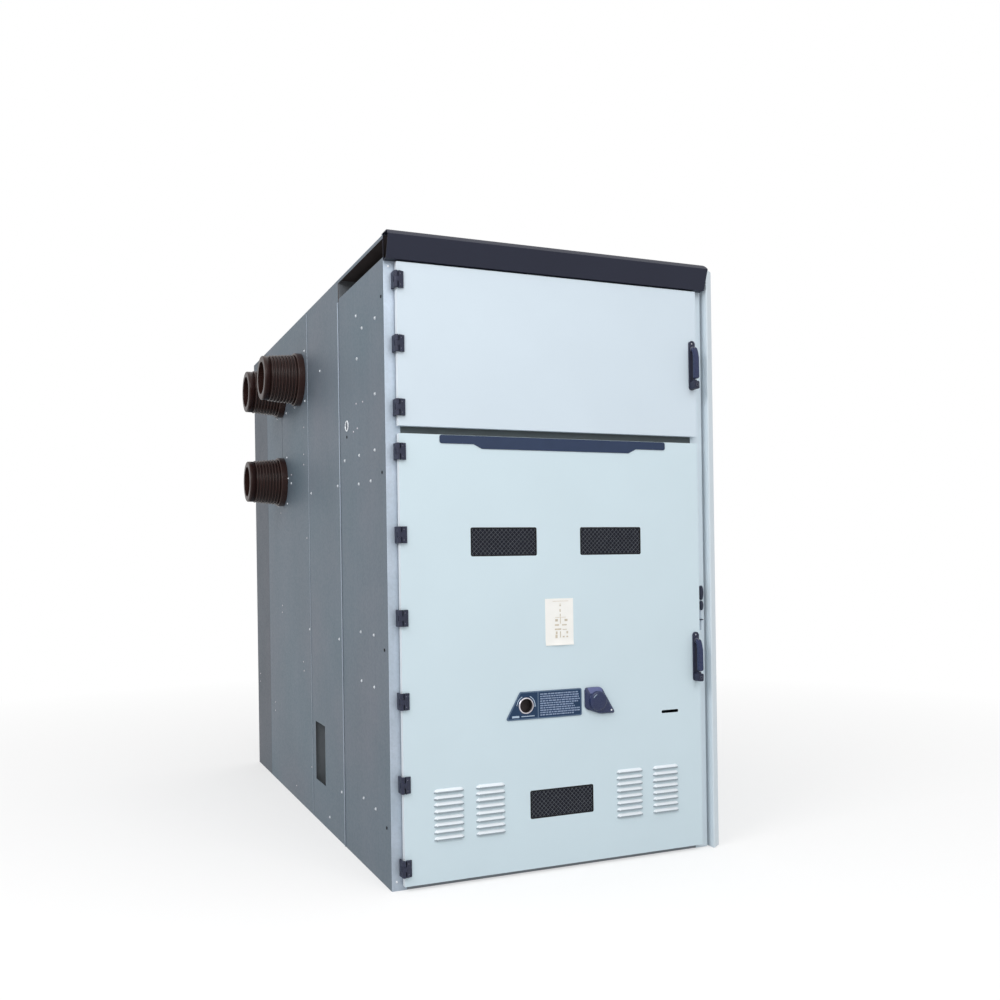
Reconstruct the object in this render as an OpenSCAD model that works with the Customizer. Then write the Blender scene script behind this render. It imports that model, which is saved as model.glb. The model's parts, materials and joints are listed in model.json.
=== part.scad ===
// Metal-clad withdrawable switchgear panel: one free-standing cabinet of bolted folded-sheet modules.
// Frame: X to the right seen from the front, Y to the rear, Z up; millimetres; floor at Z = 0.

/* [Cabinet] */
// Width over the outer faces of the side walls
cab_w = 1490; // [1300:5:1700]
// Depth from the front frame to the rear covers
cab_d = 2800; // [2500:10:3100]
// Height to the top of the roof sheets
cab_h = 2594; // [2400:1:2800]
// Thickness of walls, roof and partitions
sheet = 2; // [1.5:0.5:4]
// Width of the folded wall edges at module joints
fold = 25; // [20:1:35]
// Visible gap between neighbouring modules
seam = 2; // [1:0.5:4]
// Size of the corner notch where the front wall's top edge meets its rear fold
notch = 12; // [8:1:18]
// Depth of the front module, from the front frame
front_d = 680; // [600:5:760]
// Depth at which the middle module ends
mid_d = 1300; // [1200:5:1400]
// Depth at which the rear module ends and the cable-end module begins
rear_d = 2385; // [2250:5:2450]

/* [Base] */
// Height of the welded base frame
base_h = 60; // [40:1:80]
// Width of the base frame rails
base_rail = 50; // [40:1:70]
// Wall thickness of the base frame's channels
base_t = 4; // [3:0.5:6]
// Diameter of the anchor holes
anchor_d = 18; // [12:1:24]
// Thickness of the floor plates
floor_t = 3; // [2:0.5:6]

/* [Front frame] */
// Width of the folded front edge of a side wall
post_w = 62; // [55:1:75]
// Visible strip of that edge beside a door
post_show = 45; // [38:1:50]
// Depth of the cross rails behind the doors
rail_d = 40; // [30:1:50]
// Height of the cross rails
rail_h = 60; // [45:1:70]
// Height of the wiring duct over the front module
duct_h = 89; // [75:1:105]
// Height of the turned-down roof edge
roof_lip = 15; // [8:1:20]

/* [Header] */
// Height of the header fascia
head_h = 108; // [90:1:120]
// How far the header stands above the roof
head_rise = 6; // [5:0.5:20]
// Projection of the header's lower edge from the front frame
head_low = 38; // [32:1:46]
// Projection of the header's widest line
head_out = 70; // [60:1:80]
// Height of the bevel along the header's top edge
head_bevel = 20; // [12:1:26]
// Overlap of the header on the roof
head_lap = 12; // [8:1:20]
// How far the header stops short of the right edge
head_short = 3; // [2:1:8]
// Radius of the header's upper right corner
head_round = 14; // [8:1:18]
// Gap between the header and the upper door
head_gap = 6; // [5:1:12]

/* [Doors] */
// Projection of the door faces from the front frame
door_out = 30; // [26:1:36]
// Clear gap behind the doors
door_gap = 5; // [5:0.5:8]
// Thickness of the door sheet
door_t = 2; // [1.5:0.5:4]
// Height of the lower door's bottom edge
lower_z = 21; // [15:1:30]
// Width of the lip turned in behind a door's edge
door_lip = 15; // [10:1:22]
// Height of the upper door
upper_h = 647; // [560:1:720]
// Gap between the doors
door_split = 30; // [24:1:36]

/* [Hinges] */
// Height of one hinge
hinge_h = 66; // [54:1:78]
// Radius of the hinge knuckle
knuckle_r = 8; // [7:0.5:10]
// Radius of the hinge pin
pin_r = 3; // [2:0.25:4]
// Radial clearance of the hinge pin
pin_gap = 0.05; // [0.02:0.01:0.1]
// Clearance between knuckle segments
knuckle_gap = 0.6; // [0.4:0.1:1]
// Reach of the hinge leaf over the door
leaf_w = 28; // [22:1:36]
// Thickness of the hinge leaf at its free edge
leaf_t = 5; // [4:0.5:7]
// Distance of the hinge axis from the door edge
hinge_off = 5; // [4:0.5:8]
// Distance of the outer hinges from the door ends
hinge_inset = 72; // [60:1:90]

/* [Handles] */
// Height of a handle base
grip_h = 218; // [190:1:240]
// Width of a handle base
grip_w = 30; // [26:1:36]
// Thickness of a handle base
grip_t = 8; // [7:0.5:12]
// Distance of the handle centre line from the door edge
grip_inset = 25; // [22:1:40]
// Width of the lever
lever_w = 22; // [18:1:26]
// Thickness of the turning disc
hub_t = 6; // [4:0.5:8]
// Gap under the turning disc
hub_gap = 0.5; // [0.3:0.1:1]
// Distance of the cross pin from the handle base
pin_out = 14; // [13:0.5:18]
// Width of the tongue in the lever's fork
tongue_w = 8; // [6:0.5:10]
// Height of the lock block under the lever
lock_h = 38; // [30:1:44]
// Projection of the lock block from the door
lock_out = 42; // [34:1:48]
// Radius of the key cylinder
key_r = 8; // [6:0.5:10]
// Gap between the lever and the lock block
lever_gap = 8; // [6:0.5:12]
// Radius of the handle's shaft
shaft_r = 8; // [6:0.5:10]
// Distance of the upper handle's centre from the door's top edge
grip_drop = 332; // [280:1:380]
// Height of the lower handle's centre
grip_low_z = 861; // [700:1:1000]

/* [Door fittings] */
// Width of a viewing window
win_w = 298; // [240:1:340]
// Height of a viewing window
win_h = 118; // [100:1:140]
// Corner radius of a viewing window
win_r = 8; // [5:0.5:15]
// Distance of the upper windows from the centre line
win_x = 251; // [220:1:300]
// Distance of the upper windows' centre from the door's top edge
win_drop = 431; // [380:1:500]
// Height of the lower window's centre
win_low_z = 286; // [240:1:330]
// Thickness of a window pane
pane_t = 5; // [3:0.5:8]
// Overlap of a pane on the door sheet behind it
pane_lap = 12; // [8:1:18]
// Half width of the title strip
strip_w = 529; // [450:1:580]
// Height of the title strip
strip_h = 52; // [44:1:64]
// Thickness of the title strip
strip_t = 3; // [2:0.5:4]
// Length of the narrow part at each end of the title strip
strip_end = 148; // [120:1:170]
// How much narrower the title strip is at its ends
strip_step = 18; // [12:1:24]
// Half length of the operating panel along its foot
panel_w = 257; // [240:1:280]
// How far the operating panel's slanted ends lean inward
panel_lean = 67; // [50:1:75]
// Height of the operating panel
panel_h = 115; // [100:1:130]
// Height of the operating panel's centre
panel_z = 699; // [640:1:740]
// Thickness of the operating plate
plate_t = 2; // [1.5:0.5:3]
// Width of the raised rim on the operating plate
plate_rim = 5; // [3:0.5:7]
// Distance of the operating plate's right edge from the centre line
plate_end = 97; // [80:1:105]
// Distance of the plate's dividing rib from the centre line
plate_div = 108; // [102:1:112]
// Distance of the racking hole and of the trip dome from the centre line
panel_x = 163; // [150:1:175]
// Radius of the racking hole
rack_r = 29; // [22:1:32]
// Wall of the racking sleeve
rack_t = 2; // [1.5:0.5:4]
// Gap between the operating plate and the emergency trip cover
trip_gap = 15; // [8:1:18]
// Thickness of the emergency trip cover
trip_t = 18; // [12:1:24]
// Radius of the trip dome
trip_r = 43; // [32:1:46]
// Width of the diagram sheet
paper_w = 132; // [110:1:150]
// Height of the diagram sheet
paper_h = 196; // [170:1:220]
// Height of the diagram sheet's centre
paper_z = 1040; // [980:1:1100]
// Length of the latch slot
slot_w = 87; // [70:1:100]
// Height of the latch slot
slot_h = 13; // [10:0.5:18]
// Distance of the latch slot from the centre line
slot_x = 538; // [500:1:570]
// Height of the latch slot
slot_z = 627; // [580:1:680]

/* [Louvres] */
// Length of one louvre
louvre_w = 130; // [110:1:150]
// Spacing of the louvres in a bank
louvre_pitch = 27; // [24:0.5:30]
// Louvres in a bank
louvre_n = 8; // [6:1:10]
// How far a louvre stands out from the door
louvre_out = 8; // [6:0.5:10]
// Radius of a louvre's section and of its ends
louvre_r = 20; // [16:0.5:22]
// Distance of the inner banks from the centre line
bank_in = 328; // [300:1:350]
// Distance of the outer banks from the centre line
bank_out = 510; // [490:1:530]
// Height of the lowest louvre's open edge
bank_z = 188; // [160:1:220]

/* [Bushings] */
// Projection of a bushing from the wall
bush_l = 205; // [180:1:230]
// Radius of the bushing's base flange
bush_r = 138; // [125:1:150]
// Thickness of the base flange
bush_flange = 36; // [30:1:50]
// Radius of the bushing's tip collar
tip_r = 114; // [105:1:120]
// Length of the tip collar
tip_l = 34; // [28:1:50]
// Ribs along a bushing
rib_n = 8; // [6:1:10]
// Height of a rib
rib_h = 10; // [6:1:14]
// Radius of the bore
bore_r = 84; // [70:1:92]
// Distance of the front bushing from the rear module's front edge
bush_in = 185; // [160:1:220]
// Distance between the front and the rear bushing
bush_pitch = 460; // [420:1:500]
// Distance of the upper bushings from the top of the roof
bush_drop = 319; // [290:1:390]
// Distance between the upper and the lower rear bushing
bush_step = 510; // [460:1:560]
// How much larger the wall hole is than the bore
hole_gap = 6; // [3:1:10]

/* [Covers] */
// Height of the line between the rear covers
cover_z = 1500; // [1300:10:1700]
// Gap between the rear covers
cover_gap = 4; // [2:0.5:8]
// Thickness of a pressure relief flap
flap_t = 3; // [2:0.5:5]
// Distance of a relief flap from the edges of its roof sheet
flap_in = 110; // [80:1:150]
// Gap between the two relief flaps on the rear roof sheet
flap_gap = 90; // [60:1:120]
// Width of the hinge strip along a relief flap
flap_strip = 30; // [20:1:40]

/* [Side openings] */
// Distance of the cut-out's front edge from the middle module's rear edge
cut_back = 260; // [230:1:300]
// Width of the cut-out
cut_w = 190; // [150:1:210]
// Height of the cut-out's lower edge
cut_z = 202; // [150:1:250]
// Height of the cut-out
cut_h = 294; // [250:1:330]
// Width of the slit between the bushings
slit_w = 6; // [4:0.5:8]

/* [End panel] */
// Thickness of the end panel
end_t = 63; // [50:1:75]
// Projection of its front edge from the front frame
end_out = 35; // [30:1:42]
// How far the end panel stops below the roof
end_drop = 4; // [0:1:12]
// Width of the end panel's fixing edges
end_lip = 20; // [15:1:30]
// Setback of the slot between the right post and the end panel
end_set = 12; // [8:1:20]
// Width of that slot
end_slot = 10; // [6:1:16]
// Width of the end panel's flat front edge
end_edge = 7; // [4:1:12]

/* [Hidden] */
$fn = 64;
xw = cab_w / 2;
yf = -cab_d / 2;
wall_h = cab_h - sheet;
side_h = cab_h - duct_h;
in_w = cab_w - 2 * sheet;
door_w = cab_w - 2 * post_show;
xe = -door_w / 2;
ydoor = yf - door_out;
end_h = cab_h - end_drop;
up_z1 = cab_h + head_rise - head_h - head_gap;
up_z0 = up_z1 - upper_h;
split_z = up_z0 - door_split / 2;
low_z1 = split_z - door_split / 2;
rail_z = split_z - rail_h / 2;
shelf_z = rail_z + rail_h;
hx = xe - hinge_off;
hy = ydoor - knuckle_r;
up_mid = (up_z0 + up_z1) / 2;
up_step = upper_h / 2 - hinge_inset;
low_step = (low_z1 - lower_z - 2 * hinge_inset) / 5;
UP_HINGES = [up_mid - up_step, up_mid, up_mid + up_step];
LOW_HINGES = [for (i = [0:5]) lower_z + hinge_inset + i * low_step];
gx = -xe - grip_inset;
grip_up_z = up_z1 - grip_drop;
pivot_up = grip_h / 2 - lock_h;
win_z = low_z1 - win_drop;
WINDOWS = [[-win_x, win_z], [win_x, win_z], [0, win_low_z]];
LOUVRES = [for (x = [-bank_out, -bank_in, bank_in, bank_out], i = [0:louvre_n - 1])
    [x, bank_z + i * louvre_pitch]];
bush_front_d = mid_d + bush_in;
bush_rear_d = bush_front_d + bush_pitch;
bush_high_z = cab_h - bush_drop;
bush_low_z = bush_high_z - bush_step;
BUSHINGS = [[bush_front_d, bush_high_z], [bush_rear_d, bush_high_z], [bush_rear_d, bush_low_z]];
WELLS = [[sheet + base_rail, mid_d - base_rail / 2],
         [mid_d + base_rail / 2, cab_d - 2 * sheet - base_rail]];
well_w = cab_w - 2 * fold - 2 * base_rail;
PLATE = [[plate_end, panel_h / 2], [panel_lean - panel_w, panel_h / 2], [-panel_w, -panel_h / 2],
         [plate_end, -panel_h / 2]];

function unit(v) = v / norm(v);
function side(v) = [-v[1], v[0]];
// Points of an outline, given anticlockwise, moved inward by t
function inset(p, t) = let (n = len(p)) [for (i = [0:n - 1])
    let (a = side(unit(p[i] - p[(i + n - 1) % n])), b = side(unit(p[(i + 1) % n] - p[i])))
    p[i] + t * (a + b) / (1 + a * b)];
// Points of an outline with every corner rounded to radius r by an arc of n steps
function rounded(p, r, n = 6) = let (m = len(p)) [for (i = [0:m - 1])
    let (u = unit(p[(i + m - 1) % m] - p[i]), v = unit(p[(i + 1) % m] - p[i]),
         half = acos(u * v) / 2, c = p[i] + unit(u + v) * r / sin(half),
         a = p[i] + u * r / tan(half) - c, b = p[i] + v * r / tan(half) - c,
         from = atan2(a[1], a[0]), turn = (atan2(b[1], b[0]) - from + 900) % 360 - 180)
    for (k = [0:n]) c + r * [cos(from + turn * k / n), sin(from + turn * k / n)]];

// Box given by its lower corner and size
module block(x, y, z, sx, sy, sz) translate([x, y, z]) cube([sx, sy, sz]);

// Prism of thickness t standing out to the front from depth y, its outline drawn in X and Z about [x, z]
module front_prism(x, y, z, t) translate([x, y, z]) rotate([90, 0, 0]) linear_extrude(height = t) children();

// Rectangle with round corners
module round_rect(w, h, r) union() {
    square([w - 2 * r, h], center = true);
    square([w, h - 2 * r], center = true);
    for (i = [-1, 1], j = [-1, 1]) translate([i * (w / 2 - r), j * (h / 2 - r)]) circle(r = r);
}

// Plan of a folded wall edge: an inward fold of the given width, bent round a quarter circle
module folded_edge(width) {
    translate([sheet, 0]) square([width - sheet, sheet]);
    intersection() {
        square(sheet);
        translate([sheet, sheet]) circle(r = sheet);
    }
}

// Folded wall sheet running to the rear from depth d0 to d1, standing on the floor
module folded_wall(d0, d1, height, fold_a, fold_b) {
    span = d1 - d0;
    translate([-xw, yf + d0, 0]) linear_extrude(height = height) union() {
        translate([0, sheet]) square([sheet, span - 2 * sheet]);
        folded_edge(fold_a);
        translate([0, span]) mirror([0, 1]) folded_edge(fold_b);
    }
}

// Welded channels, open to the inside, with anchor holes in their lower flanges
module base_frame() color("#8d9398") {
    bw = cab_w - 2 * fold;
    bd = cab_d - 3 * sheet;
    reach = base_rail - base_t;
    half = (base_rail - base_t) / 2;
    difference() {
        block(-bw / 2, yf + sheet, 0, bw, bd, base_h);
        for (i = [0, 1]) {
            well = WELLS[i];
            front = i == 0 ? reach : half;
            rear = i == 0 ? half : reach;
            block(-well_w / 2, yf + well[0], -1, well_w, well[1] - well[0], base_h + 2);
            block(-well_w / 2 - reach, yf + well[0] - front, base_t, well_w + 2 * reach,
                  well[1] - well[0] + front + rear, base_h - 2 * base_t);
        }
        for (i = [-1, 1], y = [yf + sheet + base_rail / 2, yf + sheet + bd - base_rail / 2])
            translate([i * (bw - base_rail) / 2, y, -1]) cylinder(d = anchor_d, h = base_t + 2);
    }
}

module floor_plates() color("#8d9398") for (well = WELLS)
    block(-well_w / 2, yf + well[0], 0, well_w, well[1] - well[0], floor_t);

module left_front_wall() color("#b9c0c6") difference() {
    folded_wall(0, front_d, side_h, post_w, fold);
    block(-xw - 1, yf + front_d - notch, side_h - notch, fold + 2, notch + 1, notch + 1);
}

module left_middle_wall() color("#82898f") difference() {
    folded_wall(front_d + seam, mid_d, wall_h, fold, fold);
    block(-xw - 1, yf + mid_d - cut_back, cut_z, sheet + 2, cut_w, cut_h);
}

module left_rear_wall() color("#82898f") difference() {
    folded_wall(mid_d + seam, rear_d, wall_h, fold, fold);
    for (p = BUSHINGS) translate([-xw - 1, yf + p[0], p[1]]) rotate([0, 90, 0])
        cylinder(r = bore_r + hole_gap, h = sheet + 2);
    block(-xw - 1, yf + bush_rear_d - slit_w / 2, bush_low_z + bore_r, sheet + 2, slit_w,
          bush_step - 2 * bore_r);
}

module left_end_wall() color("#82898f")
    folded_wall(rear_d + seam, cab_d - sheet, wall_h, fold, fold);

module right_wall() color("#82898f") mirror([1, 0, 0])
    folded_wall(0, cab_d - sheet, wall_h, post_w, fold);

// Painted skin over the right wall, open towards it between two fixing lips
module end_panel() color("#d5dde4") translate([xw, yf, 0]) difference() {
    section = [[0, end_set], [end_slot, end_set], [end_slot, -end_out],
               [end_slot + end_edge, -end_out], [end_t, 0], [end_t, cab_d], [0, cab_d]];
    linear_extrude(height = end_h) polygon(section);
    translate([0, 0, -1]) linear_extrude(height = end_h + 1 - sheet) polygon(inset(section, sheet));
    block(-1, end_set + end_lip, -1, sheet + 2, cab_d - end_set - 2 * end_lip, end_h + 1 - sheet);
}

// Open channel between the side walls, its web to the front
module cross_rail(z) translate([-in_w / 2, yf + sheet, z]) difference() {
    cube([in_w, rail_d, rail_h]);
    translate([-1, sheet, sheet]) cube([in_w + 2, rail_d, rail_h - 2 * sheet]);
}

module mid_rail() color("#9aa1a8") cross_rail(rail_z);

module top_rail() color("#9aa1a8") cross_rail(side_h - sheet - rail_h);

// Shell of the header, t thinner all round: a section swept along the width, one top corner rounded
module header_form(t) {
    z1 = cab_h + head_rise;
    z0 = z1 - head_h;
    head_w = cab_w - head_short;
    r = head_round - t;
    section = [[-head_low, z0], [0, z0], [0, cab_h], [head_lap, cab_h], [head_lap, z1],
               [head_bevel - head_out, z1], [-head_out, z1 - head_bevel]];
    intersection() {
        translate([t, 0, 0]) rotate([90, 0, 90]) linear_extrude(height = head_w - 2 * t)
            polygon(inset(section, t));
        front_prism(0, head_lap + 1, z0, head_lap + head_out + 2) union() {
            square([head_w - head_round, head_h]);
            square([head_w, head_h - head_round]);
            translate([head_w - head_round, head_h - head_round]) circle(r = r);
        }
    }
}

// Header fascia, hollow and open at its left end towards the neighbouring panel
module header() color("#2e3142") translate([-xw, yf, 0]) difference() {
    header_form(0);
    header_form(sheet);
    translate([-2 * sheet, 0, 0]) header_form(sheet);
    block(sheet, -sheet - 1, side_h, cab_w - head_short - 2 * sheet, head_lap,
          cab_h - side_h + sheet / 2);
}

module duct_floor() color("#9aa1a8")
    block(-in_w / 2, yf + sheet, side_h - sheet, in_w, front_d - 3 * sheet, sheet);

module roof_front() color("#b9c0c6") {
    block(-xw, yf, wall_h, cab_w, front_d, sheet);
    block(-xw, yf, cab_h - roof_lip, sheet, front_d, roof_lip);
}

module roof_middle() color("#9aa1a8")
    block(-xw, yf + front_d + seam, wall_h, cab_w, mid_d - front_d - seam, sheet);

module roof_rear() color("#9aa1a8")
    block(-xw, yf + mid_d + seam, wall_h, cab_w, cab_d - mid_d - seam, sheet);

// Relief flap on the roof between depths d0 and d1: a plate with a thicker hinge strip at its front
module relief_flap(d0, d1) {
    w = cab_w - 2 * flap_in;
    block(-w / 2, yf + d0, cab_h, w, d1 - d0, flap_t);
    block(-w / 2, yf + d0, cab_h, w, flap_strip, 2 * flap_t);
}

module relief_flaps() color("#a5acb2") {
    half = (cab_d - mid_d - 2 * flap_in - flap_gap) / 2;
    relief_flap(front_d + flap_in, mid_d - flap_in);
    relief_flap(mid_d + flap_in, mid_d + flap_in + half);
    relief_flap(cab_d - flap_in - half, cab_d - flap_in);
}

module shelf() color("#9aa1a8")
    block(-in_w / 2, yf + sheet, shelf_z, in_w, front_d - 3 * sheet, sheet);

module instrument_back() color("#9aa1a8")
    block(-in_w / 2, yf + front_d - 2 * sheet, shelf_z, in_w, sheet, wall_h - shelf_z);

module truck_partition() color("#9aa1a8")
    block(-in_w / 2, yf + mid_d - 2 * sheet, base_h, in_w, sheet, wall_h - base_h);

module rear_cover_upper() color("#82898f")
    block(-xw, yf + cab_d - sheet, cover_z + cover_gap / 2, cab_w, sheet,
          wall_h - cover_z - cover_gap / 2);

module rear_cover_lower() color("#82898f")
    block(-xw, yf + cab_d - sheet, 0, cab_w, sheet, cover_z - cover_gap / 2);

// Half section of a bushing: a hollow cone between a flange and a tip collar, with rounded ribs
module bushing_section() intersection() {
    pitch = (bush_l - tip_l - bush_flange) / rib_n;
    rib_t = 0.6 * pitch;
    root = bush_r - rib_h - 8;
    neck = tip_r - rib_h + 4;
    edge = 6;
    translate([bore_r, 0]) square([bush_r - bore_r, bush_l]);
    union() {
        polygon([[bore_r, 0], [bore_r, bush_l], [tip_r - edge, bush_l], [tip_r - edge, bush_l - tip_l],
                 [neck, bush_l - tip_l], [root, bush_flange], [bush_r - edge, bush_flange],
                 [bush_r - edge, 0]]);
        translate([bush_r - edge, 0]) square([edge, bush_flange - edge]);
        translate([bush_r - edge, bush_flange - edge]) circle(r = edge);
        translate([tip_r - edge, bush_l - tip_l]) square([edge, tip_l - edge]);
        translate([tip_r - edge, bush_l - edge]) circle(r = edge);
        for (i = [0:rib_n - 1]) {
            crest = root + (neck - root) * (i + 0.5) / rib_n + rib_h - rib_t / 2;
            translate([bore_r, bush_flange + (i + 0.5) * pitch]) {
                translate([1, -rib_t / 2]) square([crest - bore_r - 1, rib_t]);
                translate([crest - bore_r, 0]) circle(d = rib_t);
            }
        }
    }
}

// Ribbed through-wall bushing, its axis along -X, seated on the wall
module bushing(p) translate([-xw, yf + p[0], p[1]]) rotate([0, -90, 0]) rotate_extrude() bushing_section();

module bushing_front() color("#4a302d") bushing(BUSHINGS[0]);

module bushing_rear() color("#4a302d") bushing(BUSHINGS[1]);

module bushing_low() color("#4a302d") bushing(BUSHINGS[2]);

// Fixed half of one hinge: a block on the post, two knuckles and the pin
module hinge_frame(z) {
    third = hinge_h / 3;
    arm = knuckle_r - 1;
    translate([hx, hy, z - hinge_h / 2]) {
        block(-knuckle_r, knuckle_r + 2, 0, arm, door_out - 2, hinge_h);
        for (k = [0, 2]) translate([0, 0, k * third]) {
            cylinder(r = knuckle_r, h = third);
            block(-knuckle_r, 0, 0, arm, knuckle_r + 4, third);
        }
        cylinder(r = pin_r, h = hinge_h);
    }
}

module instrument_hinge_frames() color("#3b3d52") for (z = UP_HINGES) hinge_frame(z);

module breaker_hinge_frames() color("#3b3d52") for (z = LOW_HINGES) hinge_frame(z);

// Moving half of one hinge: a tapered leaf on the door and the middle knuckle
module hinge_leaf(z) {
    third = hinge_h / 3;
    x0 = knuckle_r + 1.5;
    x1 = leaf_w + hinge_off;
    crown = 2 - knuckle_r;
    translate([hx, hy, z - hinge_h / 2]) {
        linear_extrude(height = hinge_h)
            polygon([[x0, knuckle_r], [x0, crown], [x1, knuckle_r - leaf_t], [x1, knuckle_r]]);
        translate([0, 0, third + knuckle_gap]) linear_extrude(height = third - 2 * knuckle_gap)
            difference() {
                union() {
                    circle(r = knuckle_r);
                    polygon([[0, knuckle_r], [0, -knuckle_r], [x0 + 1, crown + 0.4],
                             [x0 + 1, knuckle_r]]);
                }
                circle(r = pin_r + pin_gap);
            }
    }
}

module instrument_hinge_leaves() color("#3b3d52") for (z = UP_HINGES) hinge_leaf(z);

module breaker_hinge_leaves() color("#3b3d52") for (z = LOW_HINGES) hinge_leaf(z);

// Strip with two catch blocks on the right post, above the lower handle
module latch_keeper() color("#3b3d52") {
    kx = xw - post_show / 2 + 2;
    z0 = grip_low_z + grip_h / 2 + 5;
    strip = [8, 4, 200];
    catch = [16, 16, 44];
    block(kx - strip[0] / 2, yf - strip[1], z0, strip[0], strip[1], strip[2]);
    inset_z = 20;
    for (z = [z0 + inset_z, z0 + strip[2] - catch[2] - inset_z])
        block(kx - catch[0] / 2, yf - catch[1], z, catch[0], catch[1], catch[2]);
}

// Door pan: a face sheet with returned edges and lips turned in behind them
module door_pan(z0, z1) difference() {
    depth = door_out - door_gap;
    rim = door_t + door_lip;
    block(xe, ydoor, z0, door_w, depth, z1 - z0);
    block(xe + door_t, ydoor + door_t, z0 + door_t, door_w - 2 * door_t, depth - 2 * door_t,
          z1 - z0 - 2 * door_t);
    block(xe + rim, ydoor + door_t, z0 + rim, door_w - 2 * rim, depth, z1 - z0 - 2 * rim);
}

module instrument_door() color("#cddee6") difference() {
    door_pan(up_z0, up_z1);
    handle_shaft(grip_up_z, 0.1);
}

// Round bar with ball ends along X, the pressed form of a louvre at p, t smaller than its skin
module louvre_bar(p, t) {
    r = louvre_r - t;
    half = louvre_w / 2 - sqrt(louvre_r * louvre_r - (louvre_r - louvre_out) * (louvre_r - louvre_out));
    translate([p[0], ydoor + louvre_r - louvre_out, p[1]]) rotate([0, 90, 0])
    rotate_extrude() intersection() {
        translate([0, -half - r]) square([r, 2 * half + 2 * r]);
        union() {
            translate([-r, -half]) square([2 * r, 2 * half]);
            for (i = [-1, 1]) translate([0, i * half]) circle(r = r);
        }
    }
}

// Part of a louvre's form above its open edge, from the crest back to depth y
module louvre(p, t, y, z) intersection() {
    louvre_bar(p, t);
    block(p[0] - louvre_w, ydoor - 2 * louvre_out, z, 2 * louvre_w, 2 * louvre_out + y, 2 * louvre_r);
}

module breaker_door() color("#cddee6") difference() {
    union() {
        door_pan(lower_z, low_z1);
        for (p = LOUVRES) louvre(p, 0, door_t / 2, p[1]);
    }
    for (p = LOUVRES) louvre(p, door_t, door_t + 1, p[1] - 1);
    for (p = WINDOWS) front_prism(p[0], ydoor + door_t + 1, p[1], door_t + 2) round_rect(win_w, win_h, win_r);
    front_prism(slot_x, ydoor + door_t + 1, slot_z, door_t + 2) round_rect(slot_w, slot_h, slot_h / 2 - 0.5);
    front_prism(-panel_x, ydoor + door_t + 1, panel_z, door_t + 2) circle(r = rack_r + rack_t);
    handle_shaft(grip_low_z, 0.1);
}

// Shaft of a handle, along Y through its base and the door, or its hole with a gap
module handle_shaft(z, gap) translate([gx, ydoor - grip_t - hub_gap, z + pivot_up]) rotate([-90, 0, 0])
    cylinder(r = shaft_r + gap, h = hub_gap + grip_t + door_t + (gap > 0 ? 1 : 0));

// Fixed base of a handle: a round-ended plate with a screw hole and a lock block with its key cylinder
module handle_base(z) {
    screw_r = 4;
    block_w = lever_w + 4;
    lock_z = z - grip_h / 2 + lock_h / 2;
    key_t = 3;
    difference() {
        union() {
            front_prism(gx, ydoor, z, grip_t) round_rect(grip_w, grip_h, grip_w / 2 - 1);
            front_prism(gx, ydoor, lock_z, lock_out) round_rect(block_w, lock_h - 4, 6);
            front_prism(gx, ydoor, lock_z, lock_out + key_t) circle(r = key_r);
        }
        front_prism(gx, ydoor - grip_t + 4, z + grip_h / 2 - 12, grip_t) circle(r = screw_r);
        front_prism(gx, ydoor - lock_out + key_t, lock_z, 3 * key_t) square([2, key_r], center = true);
        handle_shaft(z, 0.1);
    }
}

module instrument_handle_base() color("#3b3d52") handle_base(grip_up_z);

module breaker_handle_base() color("#3b3d52") handle_base(grip_low_z);

// Turning hub of a handle: shaft, disc, rounded tongue and cross pin
module handle_hub(z) {
    disc_r = shaft_r + 4;
    tongue_r = 6;
    handle_shaft(z, 0);
    translate([gx, ydoor - grip_t - hub_gap, z + pivot_up]) {
        rotate([90, 0, 0]) cylinder(r = disc_r, h = hub_t);
        block(-tongue_w / 2, -pin_out, -tongue_r, tongue_w, pin_out - hub_t + 1, 2 * tongue_r);
        translate([-tongue_w / 2, -pin_out, 0]) rotate([0, 90, 0]) cylinder(r = tongue_r, h = tongue_w);
        translate([-lever_w / 2, -pin_out, 0]) rotate([0, 90, 0]) cylinder(r = pin_r, h = lever_w);
    }
}

module instrument_handle_hub() color("#55586a") handle_hub(grip_up_z);

module breaker_handle_hub() color("#55586a") handle_hub(grip_low_z);

// Bowed lever hanging from the hub's cross pin, its side outline trimmed to a round lower end
module handle_lever(z) {
    drop = pivot_up + grip_h / 2 - lock_h - lever_gap;
    ear_r = 7;
    fork_gap = 0.6;
    end_r = lever_w / 2 - 2;
    bow = 22;
    back = 7;
    bend_z = 40;
    neck_z = 15;
    translate([gx, ydoor - grip_t - hub_gap - pin_out, z + pivot_up]) difference() {
        intersection() {
            translate([-lever_w / 2, 0, 0]) rotate([90, 0, 90]) linear_extrude(height = lever_w) union() {
                circle(r = ear_r);
                polygon([[0, ear_r], [1 - back, back - 1], [back - bow, -neck_z], [1 - bow, -bend_z],
                         [-bow, back - drop], [4 - bow, -drop], [1 - back, -drop], [-back, -bend_z],
                         [-back / 2, -neck_z], [4, -5.7]]);
            }
            front_prism(0, ear_r + 1, (ear_r - drop) / 2, 40) round_rect(lever_w, drop + ear_r, end_r);
        }
        block(-tongue_w / 2 - fork_gap, -ear_r - 0.5, -9, tongue_w + 2 * fork_gap, 20, 30);
        translate([-lever_w / 2 - 1, 0, 0]) rotate([0, 90, 0]) cylinder(r = pin_r + pin_gap, h = lever_w + 2);
    }
}

module instrument_handle_lever() color("#3b3d52") handle_lever(grip_up_z);

module breaker_handle_lever() color("#3b3d52") handle_lever(grip_low_z);

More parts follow.
